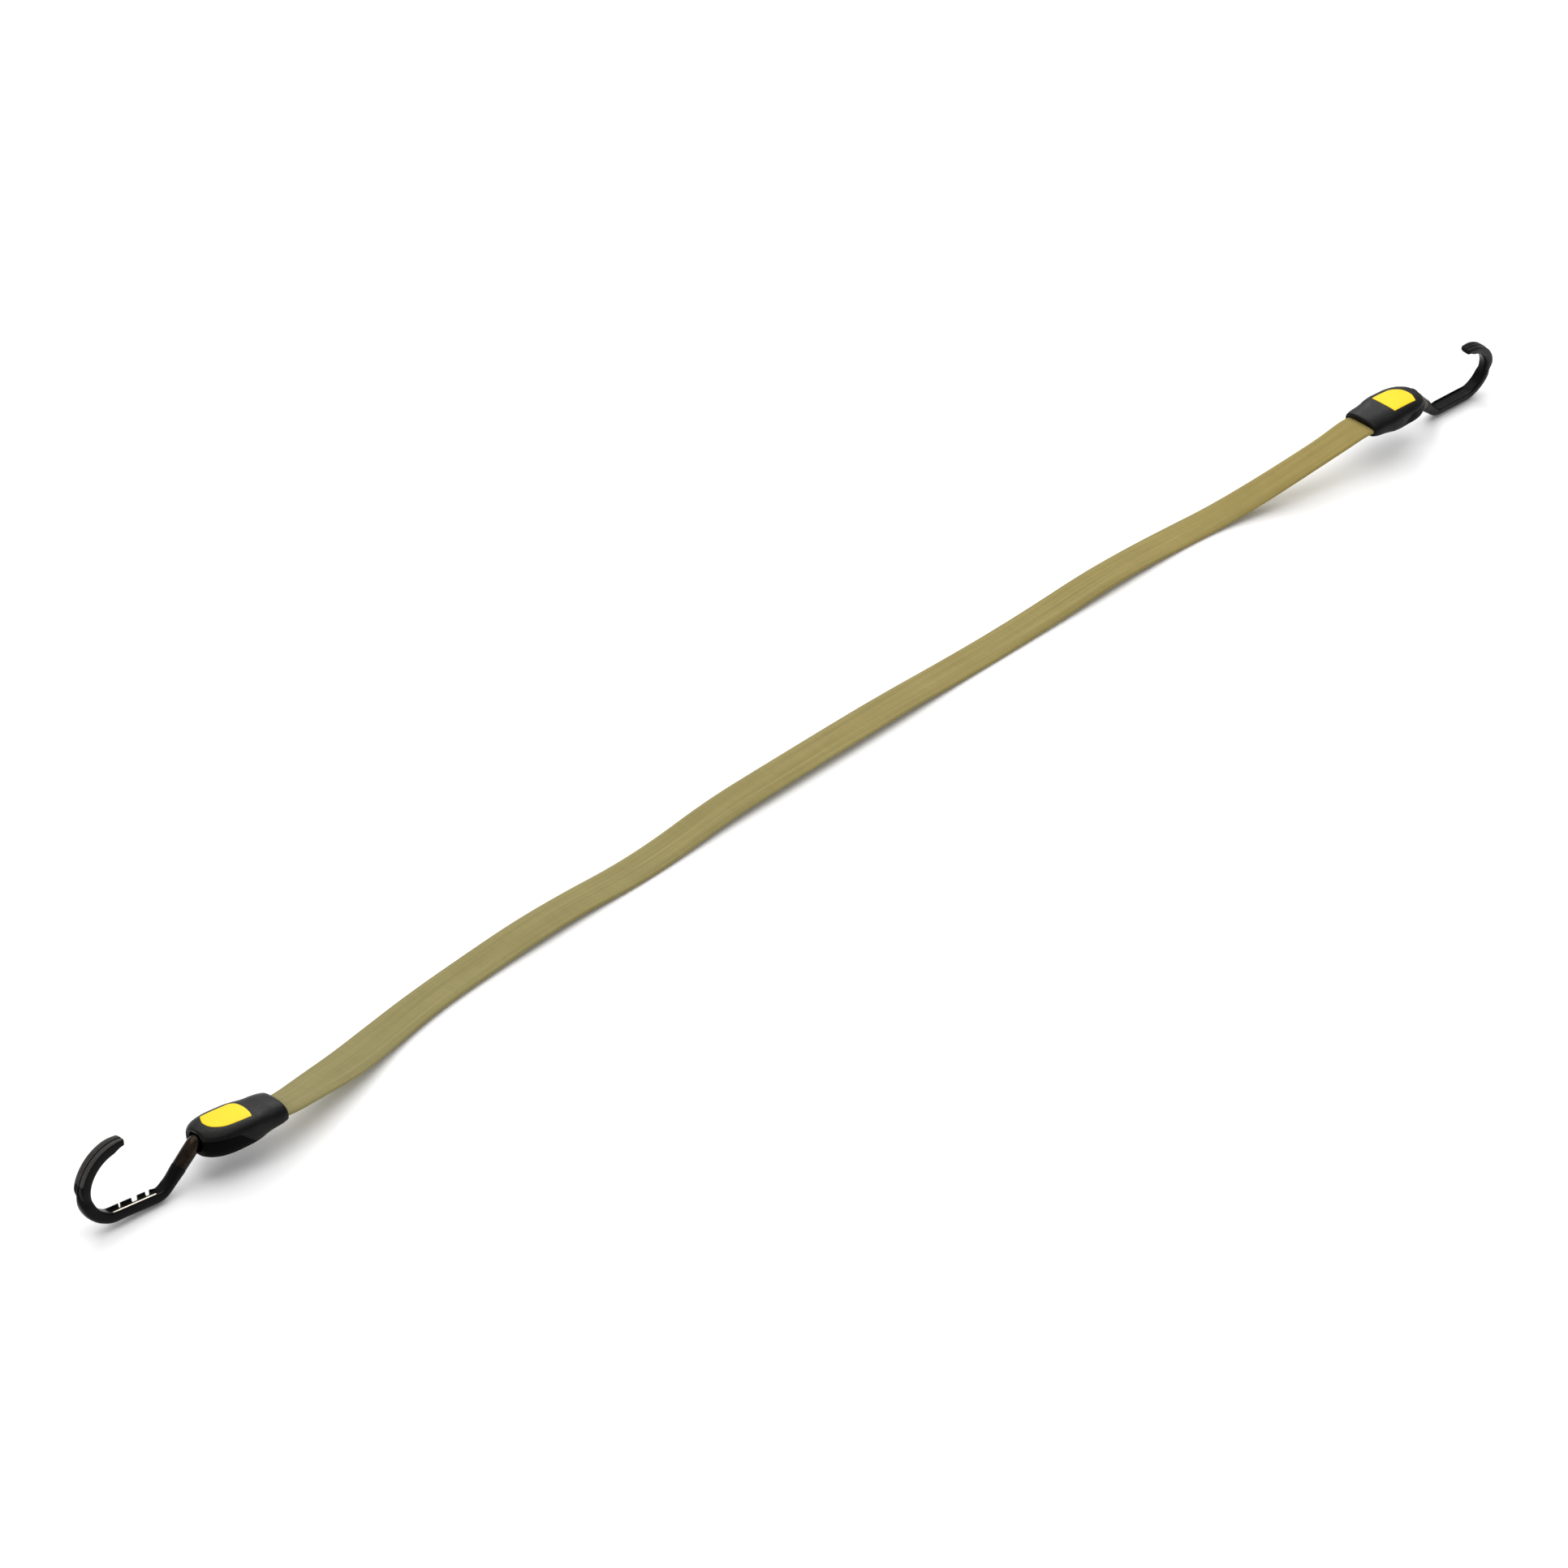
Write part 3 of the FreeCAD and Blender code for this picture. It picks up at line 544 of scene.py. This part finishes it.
def oval(w, t, b, n, h_split, upper, m, gap):
    """m points along the upper or lower part of a section, from the right hand round to the left."""
    th = np.linspace(0, 2 * np.pi, 721)
    c, s = np.cos(th), np.sin(th)
    l = -w * np.sign(c) * np.abs(c) ** (2 / n)
    tb = np.where(s >= 0, t, b)
    h = tb * np.sign(s) * np.abs(s) ** (2 / n)
    hs = h_split + gap if upper else h_split - gap
    keep = h >= hs if upper else h <= hs
    hb = b if hs < 0 else t
    x = w * max(0.0, 1 - min(abs(hs) / hb, 0.999) ** n) ** (1 / n)
    if upper:
        # th from 0 (right hand, l = -w) over the top to pi; include the stretches below zero
        order = np.concatenate([np.arange(540, 720), np.arange(0, 541)])
    else:
        order = np.arange(180, -1, -1)
        order = np.concatenate([order, np.arange(719, 359, -1)])
        order = np.concatenate([np.arange(180, -1, -1), np.arange(719, 180, -1)])
    pts = np.stack([l[order], h[order]], 1)
    k = keep[order]
    idx = np.where(k)[0]
    pts = pts[idx[0] : idx[-1] + 1]
    pts = np.vstack([[-x, hs], pts, [x, hs]])
    d = np.concatenate([[0], np.cumsum(np.linalg.norm(np.diff(pts, axis=0), axis=1))])
    q = np.linspace(0, d[-1], m)
    return np.stack([np.interp(q, d, pts[:, 0]), np.interp(q, d, pts[:, 1])], 1)


def circle(r, h_split, upper, m, gap):
    hs = (h_split + gap) if upper else (h_split - gap)
    a0 = math.asin(max(-0.95, min(0.95, hs / r)))
    th = np.linspace(a0, math.pi - a0, m) if upper else np.linspace(a0, -math.pi - a0, m)
    return np.stack([-r * np.cos(th), r * np.sin(th)], 1)


def shell(side, upper):
    m = 73
    gap = 0.055
    wall = 1.6

    def ring(a, shape, *args):
        hs = float(parting(a))
        if shape == "outer":
            (inset,) = args
            w, t, b, n = (float(x) for x in section(a, side))
            p = oval(w - inset, t - inset, b - inset, n, hs, upper, m, gap)
        elif shape == "slot":
            (grow,) = args
            hs = max(-1.6, min(1.6, hs))
            p = oval(12.3 + grow, 2.3 + grow, 2.3 + grow, 5.0, hs, upper, m, gap)
        else:
            (r,) = args
            p = circle(r, hs * 0, upper, m, gap)
        return np.column_stack([np.full(m, a), p])

    def at(a, base):
        q = base.copy()
        q[:, 0] = a
        return q

    rings = [at(-50.0, ring(-50.0, "slot", 0.0)), at(-53.8, ring(-53.8, "slot", 0.0)), at(-54.18, ring(-54.1, "slot", 0.14)), at(-54.3, ring(-54.3, "slot", 0.5))]
    o0 = ring(-54.3, "outer", 0.0)
    for a, ins in ((-54.3, 0.75), (-54.16, 0.34), (-53.8, 0.08)):
        base = ring(a, "outer", ins)
        rings.append(at(a, base))
    for a in np.concatenate([np.linspace(-53.2, -9.0, 50), np.linspace(-8.2, -1.2, 12)]):
        rings.append(ring(a, "outer", 0.0))
    nose = ring(-0.6, "outer", 0.0)
    rings += [at(-0.55, ring(-0.55, "outer", 0.12)), at(-0.2, ring(-0.3, "outer", 0.5)), at(0.0, ring(0.0, "outer", 1.05))]
    rim = rings[-1]
    c_out = ring(0.0, "circle", 6.75)
    rings.append(at(0.0, 0.5 * (rim + c_out)))
    rings.append(at(0.0, c_out))
    rings += [at(-0.12, ring(0.0, "circle", 6.42)), at(-0.5, ring(0.0, "circle", 6.2)), at(-4.2, ring(0, "circle", 5.45)), at(-5.0, ring(0, "circle", 4.65)), at(-12.8, ring(0, "circle", 4.6)), at(-13.0, ring(0, "circle", 6.15)), at(-15.0, ring(0, "circle", 6.15))]
    for a in np.linspace(-15.4, -49.0, 22):
        w, t, b, n = (float(x) for x in section(a, side))
        ti, bi = t - wall - (0.9 if -33.5 < a < -6 else 0.0), b - wall
        p = oval(w - wall, ti, bi, n, max(-0.7 * bi, min(0.7 * ti, float(parting(a)))), upper, m, gap)
        rings.append(np.column_stack([np.full(m, a), p]))
    last = rings[-1]
    rings.append(at(-49.3, last * np.array([1, 0.985, 0.985])))
    n = len(rings)
    verts = np.concatenate(rings)
    faces = []
    for i in range(n):
        k = (i + 1) % n
        for j in range(m - 1):
            faces.append((i * m + j, i * m + j + 1, k * m + j + 1, k * m + j))
    bm = bmesh.new()
    vs = [bm.verts.new(tuple(v)) for v in verts]
    for f in faces:
        bm.faces.new([vs[i] for i in f])
    bm.verts.ensure_lookup_table()
    for j in (0, m - 1):
        loop = [vs[i * m + j] for i in range(n)]
        edges = []
        for i in range(n):
            e = bm.edges.get((loop[i], loop[(i + 1) % n]))
            edges.append(e)
        bmesh.ops.triangle_fill(bm, use_beauty=True, use_dissolve=False, edges=edges, normal=(0, 0, 1))
    bmesh.ops.recalc_face_normals(bm, faces=bm.faces)
    me = bpy.data.meshes.new("shell")
    bm.to_mesh(me)
    bm.free()
    o = bpy.data.objects.new(f"{side}_{'upper' if upper else 'lower'}_case", me)
    scene.collection.objects.link(o)
    return o


INLAY_A0, INLAY_L, INLAY_W = -32.0, 24.6, 10.3


def blend_corner(p, c, q, n=12):
    t = np.linspace(0, 1, n)[:, None]
    return (1 - t) ** 2 * p + 2 * t * (1 - t) * c + t**2 * q


def inlay_outline(grow, side, count=150):
    """Outline in (a, l), going round once: straight strap side, straight right-hand side, arc on the hook side."""
    w, L = INLAY_W, INLAY_L
    a1 = INLAY_A0 + 0.86 * L
    key = np.array([(a1, -w), (INLAY_A0 + L - 0.1, -0.24 * w), (INLAY_A0 + 0.95 * L, 0.42 * w), (INLAY_A0 + 0.74 * L, 0.86 * w), (INLAY_A0 + 0.38 * L, 0.985 * w), (INLAY_A0, w)])
    d = np.concatenate([[0], np.cumsum(np.linalg.norm(np.diff(key, axis=0), axis=1))])
    # natural spline through the key points of the arc
    q = np.linspace(0, d[-1], 70)
    arc = np.stack([mono_open(q, d, key[:, k]) for k in range(2)], 1)
    corner = 0.7

    def fillet(p, c, q, r=corner, n=6):
        u, v = (p - c) / np.linalg.norm(p - c), (q - c) / np.linalg.norm(q - c)
        s, e = c + u * r, c + v * r
        t = np.linspace(0, 1, n)[:, None]
        return (1 - t) ** 2 * s + 2 * t * (1 - t) * c + t**2 * e

    p2, p1, p3 = np.array([INLAY_A0, w]), np.array([INLAY_A0, -w]), np.array([a1, -w])
    if side == "left":
        f = np.linspace(0, 1, 60)
        bow = np.stack([INLAY_A0 - 2.3 * (4 * f * (1 - f)) ** 0.8 * (0.72 + 0.56 * f), w * (1 - 2 * f)], 1)
        pts = [fillet(arc[-4], p2, bow[6]), bow[7:-9], blend_corner(bow[-9], p1, p1 + np.array([3.0, 0.0])), fillet(p1, p3, arc[4]), arc[5:-4]]
    else:
        pts = [fillet(arc[-4], p2, p1), fillet(p2, p1, p3), fillet(p1, p3, arc[4]), arc[5:-4]]
    pts = np.vstack(pts)
    pts = np.vstack([pts, pts[:1]])
    dd = np.concatenate([[0], np.cumsum(np.linalg.norm(np.diff(pts, axis=0), axis=1))])
    qq = np.linspace(0, dd[-1], count, endpoint=False)
    out = np.stack([np.interp(qq, dd, pts[:, k]) for k in range(2)], 1)
    if grow:
        t = np.roll(out, -1, axis=0) - np.roll(out, 1, axis=0)
        t /= np.linalg.norm(t, axis=1)[:, None]
        nrm = np.stack([t[:, 1], -t[:, 0]], 1)
        c = out.mean(0)
        if ((out - c) * nrm).sum() < 0:
            nrm = -nrm
        out = out + nrm * grow
    return out


def mono_open(q, d, y):
    """Cubic Hermite with centred slopes (no clamping of peaks)."""
    m = np.gradient(y, d)
    i = np.clip(np.searchsorted(d, q, side="right") - 1, 0, len(d) - 2)
    h = d[i + 1] - d[i]
    t = (q - d[i]) / h
    return (2 * t**3 - 3 * t**2 + 1) * y[i] + (t**3 - 2 * t**2 + t) * h * m[i] + (-2 * t**3 + 3 * t**2) * y[i + 1] + (t**3 - t**2) * h * m[i + 1]


def top_height(a, l, side):
    w, t, b, n = section(a, side)
    return t * np.maximum(0.0, 1 - np.minimum(np.abs(l) / w, 0.999) ** n) ** (1 / n)


def inlay_piece(side):
    c = np.array([INLAY_A0 + 0.45 * INLAY_L, 0.0])
    rings = []
    base = 6.75
    lip = [(0.0, base, None), (0.0, None, -0.16), (-0.06, None, -0.06), (-0.2, None, 0.0)]
    for grow, z, drop in lip:
        o2 = inlay_outline(-0.03 + grow, side)
        z = np.full(len(o2), z) if z is not None else top_height(o2[:, 0], o2[:, 1], side) + 0.26 + drop
        rings.append(np.column_stack([o2, z]))
    o2 = inlay_outline(-0.23, side)
    for f in np.linspace(0.93, 0.05, 13):
        p = c + (o2 - c) * f
        rings.append(np.column_stack([p, top_height(p[:, 0], p[:, 1], side) + 0.26]))
    verts, faces = rings_mesh(rings)
    o = make_object(f"{side}_badge", world(side, verts), faces)
    tidy(o, 40.0)
    return o


def cutter(verts, faces, name):
    o = make_object(name, verts, faces, False)
    bm = bmesh.new()
    bm.from_mesh(o.data)
    bmesh.ops.recalc_face_normals(bm, faces=bm.faces)
    bm.to_mesh(o.data)
    bm.free()
    return o


def prism(outline, z0, z1):
    rings = [np.column_stack([outline, np.full(len(outline), z)]) for z in (z0, z1)]
    return rings_mesh(rings)


def boolean(o, tools):
    for i, t in enumerate(tools):
        md = o.modifiers.new(f"cut{i}", "BOOLEAN")
        md.operation = "DIFFERENCE"
        md.solver = "EXACT"
        md.object = t
    bpy.context.view_layer.update()
    apply_modifiers(o)
    for t in tools:
        bpy.data.objects.remove(t)


def round_disc(r, n=40):
    th = np.linspace(0, 2 * np.pi, n, endpoint=False)
    return np.stack([r * np.cos(th), r * np.sin(th)], 1)


def bevel(o, width, angle, segments=2):
    md = o.modifiers.new("bevel", "BEVEL")
    md.width = width
    md.segments = segments
    md.limit_method = "ANGLE"
    md.angle_limit = math.radians(angle)
    bpy.context.view_layer.update()
    apply_modifiers(o)


def to_world(o, side, turn=0.0):
    co = np.array([v.co[:] for v in o.data.vertices])
    w = world(side, co, turn)
    o.data.vertices.foreach_set("co", w.astype(np.float32).ravel())
    o.data.update()


def build_case(side):
    up_ = shell(side, True)
    lo_ = shell(side, False)
    for o in (up_, lo_):
        bevel(o, 0.16, 50, 2)
    pocket = cutter(*prism(inlay_outline(0.10, side), 6.7, 12.0), "cut_pocket")
    boolean(up_, [pocket])
    tools = []
    for s in (-1, 1):
        c = np.array([-24.0, s * 9.3])
        tools.append(cutter(*prism(round_disc(2.85) + c, -12.0, -4.6), "cut_bore"))
        tools.append(cutter(*prism(round_disc(1.5, 24) + c, -12.0, 3.0), "cut_hole"))
    boolean(lo_, tools)
    for o in (up_, lo_):
        to_world(o, side)
        tidy(o, 32.0)
    dress(up_, "housing")
    # the lower shell gets the painted-shade copy of the case plastic
    dress(lo_, "lower")
    return up_, lo_


# ------------------------------------------------------------------ hook
BEND_A, BEND_R, BAR_H, HEEL_A, HEEL_R = 0.5, 7.0, -22.8, 25.9, 12.0
BIG_A, BIG_R, BIG_DEG, TIP_A, TIP_H, SEAM_AT = 56.6, 18.7, 119.5, 46.7, 18.8, 16.2


def hook_line(step=0.45):
    """Centreline from inside the nose to the tip: points, tangents, outward normals, and the indices of its landmarks.
    """
    drop = math.atan2(-BAR_H, HEEL_A - BEND_A)
    tb, th = BEND_R * math.tan(drop / 2), HEEL_R * math.tan(drop / 2)
    c, s = math.cos(drop), math.sin(drop)
    pts, marks = [], {}

    def straight(p, q, name):
        n = max(2, int(math.hypot(q[0] - p[0], q[1] - p[1]) / step))
        marks[name] = len(pts)
        for i in range(n):
            f = i / n
            pts.append((p[0] + (q[0] - p[0]) * f, p[1] + (q[1] - p[1]) * f))

    def bow(cx, ch, r, d0, d1, name):
        n = max(4, int(abs(d1 - d0) * r / step))
        marks[name] = len(pts)
        for i in range(n):
            d = d0 + (d1 - d0) * i / n
            pts.append((cx + r * math.cos(d), ch + r * math.sin(d)))

    straight((-3.6, 0), (BEND_A - tb, 0), "start")
    bow(BEND_A - tb, -BEND_R, BEND_R, math.pi / 2, math.pi / 2 - drop, "bend")
    neck0 = (BEND_A + tb * c, -tb * s)
    seam = (BEND_A + SEAM_AT * c, -SEAM_AT * s)
    neck1 = (HEEL_A - th * c, BAR_H + th * s)
    straight(neck0, seam, "neck")
    straight(seam, neck1, "seam")
    bow(HEEL_A + th, BAR_H + HEEL_R, HEEL_R, 1.5 * math.pi - drop, 1.5 * math.pi, "heel")
    straight((HEEL_A + th, BAR_H), (BIG_A, BAR_H), "bar")
    a1 = math.radians(-90 + BIG_DEG)
    bow(BIG_A, BAR_H + BIG_R, BIG_R, -math.pi / 2, a1, "big")
    p = (BIG_A + BIG_R * math.cos(a1), BAR_H + BIG_R + BIG_R * math.sin(a1))
    dx, dh = p[0] - TIP_A, p[1] - TIP_H
    r2 = (dx * dx + dh * dh) / (2 * (dx * math.cos(a1) + dh * math.sin(a1)))
    c2 = (p[0] - r2 * math.cos(a1), p[1] - r2 * math.sin(a1))
    a2 = math.atan2(TIP_H - c2[1], TIP_A - c2[0])
    bow(c2[0], c2[1], r2, a1, a2, "tip")
    pts.append((c2[0] + r2 * math.cos(a2), c2[1] + r2 * math.sin(a2)))
    marks["end"] = len(pts) - 1
    pts = np.array(pts)
    t = np.gradient(pts, axis=0)
    t /= np.linalg.norm(t, axis=1)[:, None]
    n = np.stack([t[:, 1], -t[:, 0]], 1)      # away from the hook's inside
    return pts, t, n, marks


HPTS, HT, HN, HM = hook_line()
HD = np.concatenate([[0], np.cumsum(np.linalg.norm(np.diff(HPTS, axis=0), axis=1))])

# half sections (u across the hook, v outward), from the middle of the outside to the middle of the inside
P_NECK = np.array([(4.5 * math.sin(x), 4.5 * math.cos(x)) for x in np.linspace(0, math.pi, 25)])
P_SOLID = np.array([(0, 2.85), (1.1, 2.84), (2.1, 2.74), (2.9, 2.5), (3.5, 2.1), (3.95, 1.55), (4.25, 0.9), (4.35, 0.2), (4.35, -0.5), (4.32, -1.2), (4.22, -1.75), (4.0, -2.2), (3.7, -2.5), (3.4, -2.65), (3.15, -2.72), (2.95, -2.75), (2.75, -2.77), (2.5, -2.79), (2.2, -2.8), (1.9, -2.8), (1.5, -2.8), (1.1, -2.8), (0.7, -2.8), (0.35, -2.8), (0, -2.8)], float)
P_CHAN = np.array([(0, 3.0), (1.1, 2.99), (2.1, 2.88), (2.9, 2.62), (3.5, 2.2), (3.95, 1.65), (4.25, 0.95), (4.38, 0.2), (4.38, -0.8), (4.36, -1.9), (4.32, -2.7), (4.2, -3.15), (3.95, -3.35), (3.6, -3.4), (3.32, -3.3), (3.18, -3.05), (3.12, -2.7), (3.09, -2.3), (3.05, -1.95), (2.95, -1.72), (2.7, -1.6), (2.2, -1.55), (1.5, -1.52), (0.75, -1.5), (0, -1.5)], float)
P_TIP = np.array([(0, 3.05), (0.3, 3.05), (0.5, 2.95), (0.68, 2.55), (0.95, 2.38), (1.3, 2.42), (1.55, 2.7), (1.85, 2.86), (2.6, 2.86), (3.4, 2.82), (3.95, 2.66), (4.22, 2.35), (4.33, 1.8), (4.36, 1.0), (4.34, 0.2), (4.28, -0.6), (4.15, -1.3), (3.9, -1.85), (3.5, -2.25), (3.0, -2.5), (2.4, -2.66), (1.8, -2.74), (1.2, -2.78), (0.6, -2.8), (0, -2.8)], float)
assert len(P_NECK) == len(P_SOLID) == len(P_CHAN) == len(P_TIP)


def hook_section(d, side):
    """Section of the jacket at distance d along the hook's line."""
    d_seam, d_heel, d_bar, d_big, d_tip, d_end = (HD[HM[k]] for k in ("seam", "heel", "bar", "big", "tip", "end"))
    to_solid = smooth(d, d_seam, d_heel + 1.5)
    chan = smooth(d, d_heel + 3.5, d_bar + 1.0) * (1 - smooth(d, d_big - 1.0, d_big + 8.0))
    tip = smooth(d, d_big + 22.0, d_big + 34.0)
    p = P_NECK * (1 - to_solid) + P_SOLID * to_solid
    p = p * (1 - chan) + P_CHAN * chan
    p = p * (1 - tip) + P_TIP * tip
    thick_in = 1.0 + 0.06 * to_solid + 0.215 * smooth(d, d_big - 2.0, d_big + 10.0)
    thick_out = 1.0 + 0.06 * to_solid + 0.19 * smooth(d, d_big - 4.0, d_big + 6.0) + 0.15 * smooth(d, d_big + 7.0, d_big + 20.0) - 0.08 * tip
    q = p.copy()
    if side == "right":
        thick_out = thick_out - 0.40 * smooth(d, d_big + 18.0, d_big + 34.0)
        floor_pts = (p[:, 1] > -2.6) & (p[:, 1] < 0) & (np.arange(len(p)) > 14)
        q[floor_pts, 1] -= 0.85 * chan * np.clip((2.6 + p[floor_pts, 1]) / 1.1, 0, 1)
    q[:, 1] *= np.where(p[:, 1] > 0, thick_out, thick_in)
    q[:, 0] *= 1.0 + 0.012 * to_solid
    return q


def full_section(half):
    return np.vstack([half, np.column_stack([-half[-2:0:-1, 0], half[-2:0:-1, 1]])])


def hook_ring(i, sec, push=0.0):
    p, n, t = HPTS[i], HN[i], HT[i]
    a = p[0] + n[0] * sec[:, 1] + t[0] * push
    h = p[1] + n[1] * sec[:, 1] + t[1] * push
    return np.column_stack([a, sec[:, 0], h])


NOTCHES = ((32.8, 3.0), (41.45, 4.1), (51.4, 1.65))


def jacket(side):
    far = -1.0
    rings = []
    i0, i1 = HM["seam"], HM["end"]
    s0 = full_section(hook_section(HD[i0], side))
    rings.append(hook_ring(i0, s0 * 0.93, 0.02))
    rings.append(hook_ring(i0, s0 * 0.985, 0.07))
    rings.append(hook_ring(i0, s0, 0.25))
    stop = i1 - 5

    def tip_shape(i):
        q = full_section(hook_section(HD[i], side))
        f = smooth(HD[i], HD[stop] - 7.0, HD[stop] + 2.5)
        low = q[:, 1] < 0
        q[low, 1] *= 1 - 0.78 * f
        q[:, 0] *= 1 - 0.10 * f
        q[~low, 1] *= 1 - 0.12 * f
        return q

    for i in range(i0 + 1, stop):
        rings.append(hook_ring(i, tip_shape(i)))
    e = tip_shape(stop)
    for k, push in ((0.995, 0.5), (0.98, 0.9), (0.95, 1.25), (0.90, 1.55), (0.82, 1.8), (0.70, 1.95), (0.5, 2.03), (0.25, 2.05)):
        rings.append(hook_ring(stop, e * k, push))
    verts, faces = rings_mesh(rings)
    o = make_object(f"{side}_hook_grip", verts, faces)
    bm = bmesh.new()
    bm.from_mesh(o.data)
    bmesh.ops.recalc_face_normals(bm, faces=bm.faces)
    bm.to_mesh(o.data)
    bm.free()
    tools = []
    for a, w in NOTCHES if side == "left" else ():
        h0 = BAR_H - 0.3
        box = np.array([(a - w / 2, 2.15), (a + w / 2, 2.15), (a + w / 2, 5.2), (a - w / 2, 5.2)])
        box[:, 1] *= far
        if far < 0:
            box = box[::-1]
        tools.append(cutter(*prism(box, h0, h0 + 9), "cut_notch"))
    if tools:
        boolean(o, tools)
    to_world(o, side, HOOK_TURN[side])
    tidy(o, 38.0)
    dress(o, "jacket")
    # slot 1 holds this side's grip copy with painted light: the outer faces of the ribbed tip picked below get the
    # painted sheen (left) or painted shade (right)
    o.data.materials.append(MAT["grip_" + side])
    i_rib = HM["big"] + int(0.50 * (HM["end"] - HM["big"]))
    ref = world(side, np.column_stack([HPTS[i_rib:, 0], np.zeros(len(HPTS) - i_rib), HPTS[i_rib:, 1]]), HOOK_TURN[side])
    nrm = world(side, np.column_stack([HPTS[i_rib:, 0] + HN[i_rib:, 0], np.zeros(len(HPTS) - i_rib), HPTS[i_rib:, 1] + HN[i_rib:, 1]]), HOOK_TURN[side]) - ref
    for f in o.data.polygons:
        c = np.array(f.center[:])
        k = int(np.argmin(((ref - c) ** 2).sum(1)))
        if k > 2 and (c - ref[k]) @ nrm[k] > 0.0022 * MM and np.array(f.normal[:]) @ nrm[k] > 0.0005:
            f.material_index = 1
    return o


def neck(side):
    i1 = HM["seam"]
    th = np.linspace(0, 2 * np.pi, 48, endpoint=False)
    outer, inner = [], []
    for i in range(0, i1 + 1):
        f = HD[i] / HD[i1]
        r = 4.42 + 0.10 * math.sin(math.pi * min(1.0, f * 1.15))
        sec = np.stack([r * np.sin(th), r * np.cos(th)], 1)
        if i == 0:
            outer.append(hook_ring(0, sec * 0.93, 0.0))
            outer.append(hook_ring(0, sec, 0.18))
            continue
        if i == i1:
            outer.append(hook_ring(i, sec, -0.28))
            outer.append(hook_ring(i, sec * 0.985, -0.1))
            outer.append(hook_ring(i, sec * 0.93, -0.04))
            continue
        if i < i1 - 1:
            outer.append(hook_ring(i, sec))
    bore = np.stack([2.02 * np.sin(th), 2.02 * np.cos(th)], 1)
    for i in range(i1, -1, -1):
        inner.append(hook_ring(i, bore, -0.04 if i == i1 else 0.0))
    rings = outer + inner
    n = len(th)
    verts, faces = rings_mesh(rings, cap=False)
    k = len(rings) - 1
    for j in range(n):
        j2 = (j + 1) % n
        faces.append((k * n + j, k * n + j2, j2, j))
    o = make_object(f"{side}_neck_cover", world(side, verts, HOOK_TURN[side]), faces)
    tidy(o, 40.0)
    dress(o, "neck")
    return o


# ------------------------------------------------------------------ assemble
nodes = frame["nodes"]
CAD_LOOK = {"shell_screws": "fastener", "swivel_bush": "bush", "thrust_washer": "steel", "hook_core": "steel", "strap_crimp": "steel", "crimp_rivets": "fastener"}
for side in ("left", "right"):
    upper_case, lower_case = build_case(side)
    badge = inlay_piece(side)
    dress(badge, "inlay")
    grip = jacket(side)
    cover = neck(side)
    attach(upper_case, f"{side}_end")
    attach(lower_case, f"{side}_end")
    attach(badge, f"{side}_end")
    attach(grip, f"{side}_hook")
    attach(cover, f"{side}_hook")
    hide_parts(f"{side}_upper_shell")
    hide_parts(f"{side}_lower_shell")
    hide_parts(f"{side}_inlay")
    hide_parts(f"{side}_hook_jacket")
    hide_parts(f"{side}_neck_sleeve")
    for k, v in CAD_LOOK.items():
        dress(nodes[f"{side}_{k}"], v)

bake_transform(strap)
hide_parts("strap_sleeve", "rubber_core")

# ------------------------------------------------------------------ studio
floor_mesh, ff = rings_mesh([np.array([(-6, -6, 0), (6, -6, 0)], float), np.array([(-6, 6, 0), (6, 6, 0)], float)], closed_u=False)
floor = make_object("studio_floor", floor_mesh, ff, False)
fm, fnt, fb = new_material("pale_floor")
fn = noise(fnt, 6.0, 3.0, 0.5, object_coords(fnt))
fnt.links.new(ramp(fnt, fn, [(0.3, (0.95, 0.95, 0.95)), (0.7, (0.97, 0.97, 0.97))]), fb.inputs["Base Color"])
fb.inputs["Roughness"].default_value = 0.8
fb.inputs["Specular IOR Level"].default_value = 0.2
floor.data.materials.append(fm)

wd = bpy.data.worlds.new("studio")
scene.world = wd
wd.use_nodes = True
bg = wd.node_tree.nodes["Background"]
bg.inputs[0].default_value = (1.0, 1.0, 1.0, 1.0)
bg.inputs[1].default_value = 0.60


def area(name, loc, target, size, power, size_y=None):
    d = bpy.data.lights.new(name, "AREA")
    d.energy = power
    d.size = size
    if size_y:
        d.shape = "RECTANGLE"
        d.size_y = size_y
    o = bpy.data.objects.new(name, d)
    scene.collection.objects.link(o)
    z = (Vector(loc) - Vector(target)).normalized()
    o.matrix_world = Matrix.Translation(Vector(loc)) @ z.to_track_quat("Z", "Y").to_matrix().to_4x4()
    return o


area("key", (0.3, 0.5, 3.6), (0, 0, 0), 4.6, 105.0, 4.2)
area("back", (2.1, 2.3, 2.0), (0, 0, 0), 2.2, 44.0, 1.0)
area("glint", (-2.9, 0.5, 2.0), (-0.55, 0, 0), 0.55, 7.0, 0.35)

scene.view_settings.view_transform = "Standard"
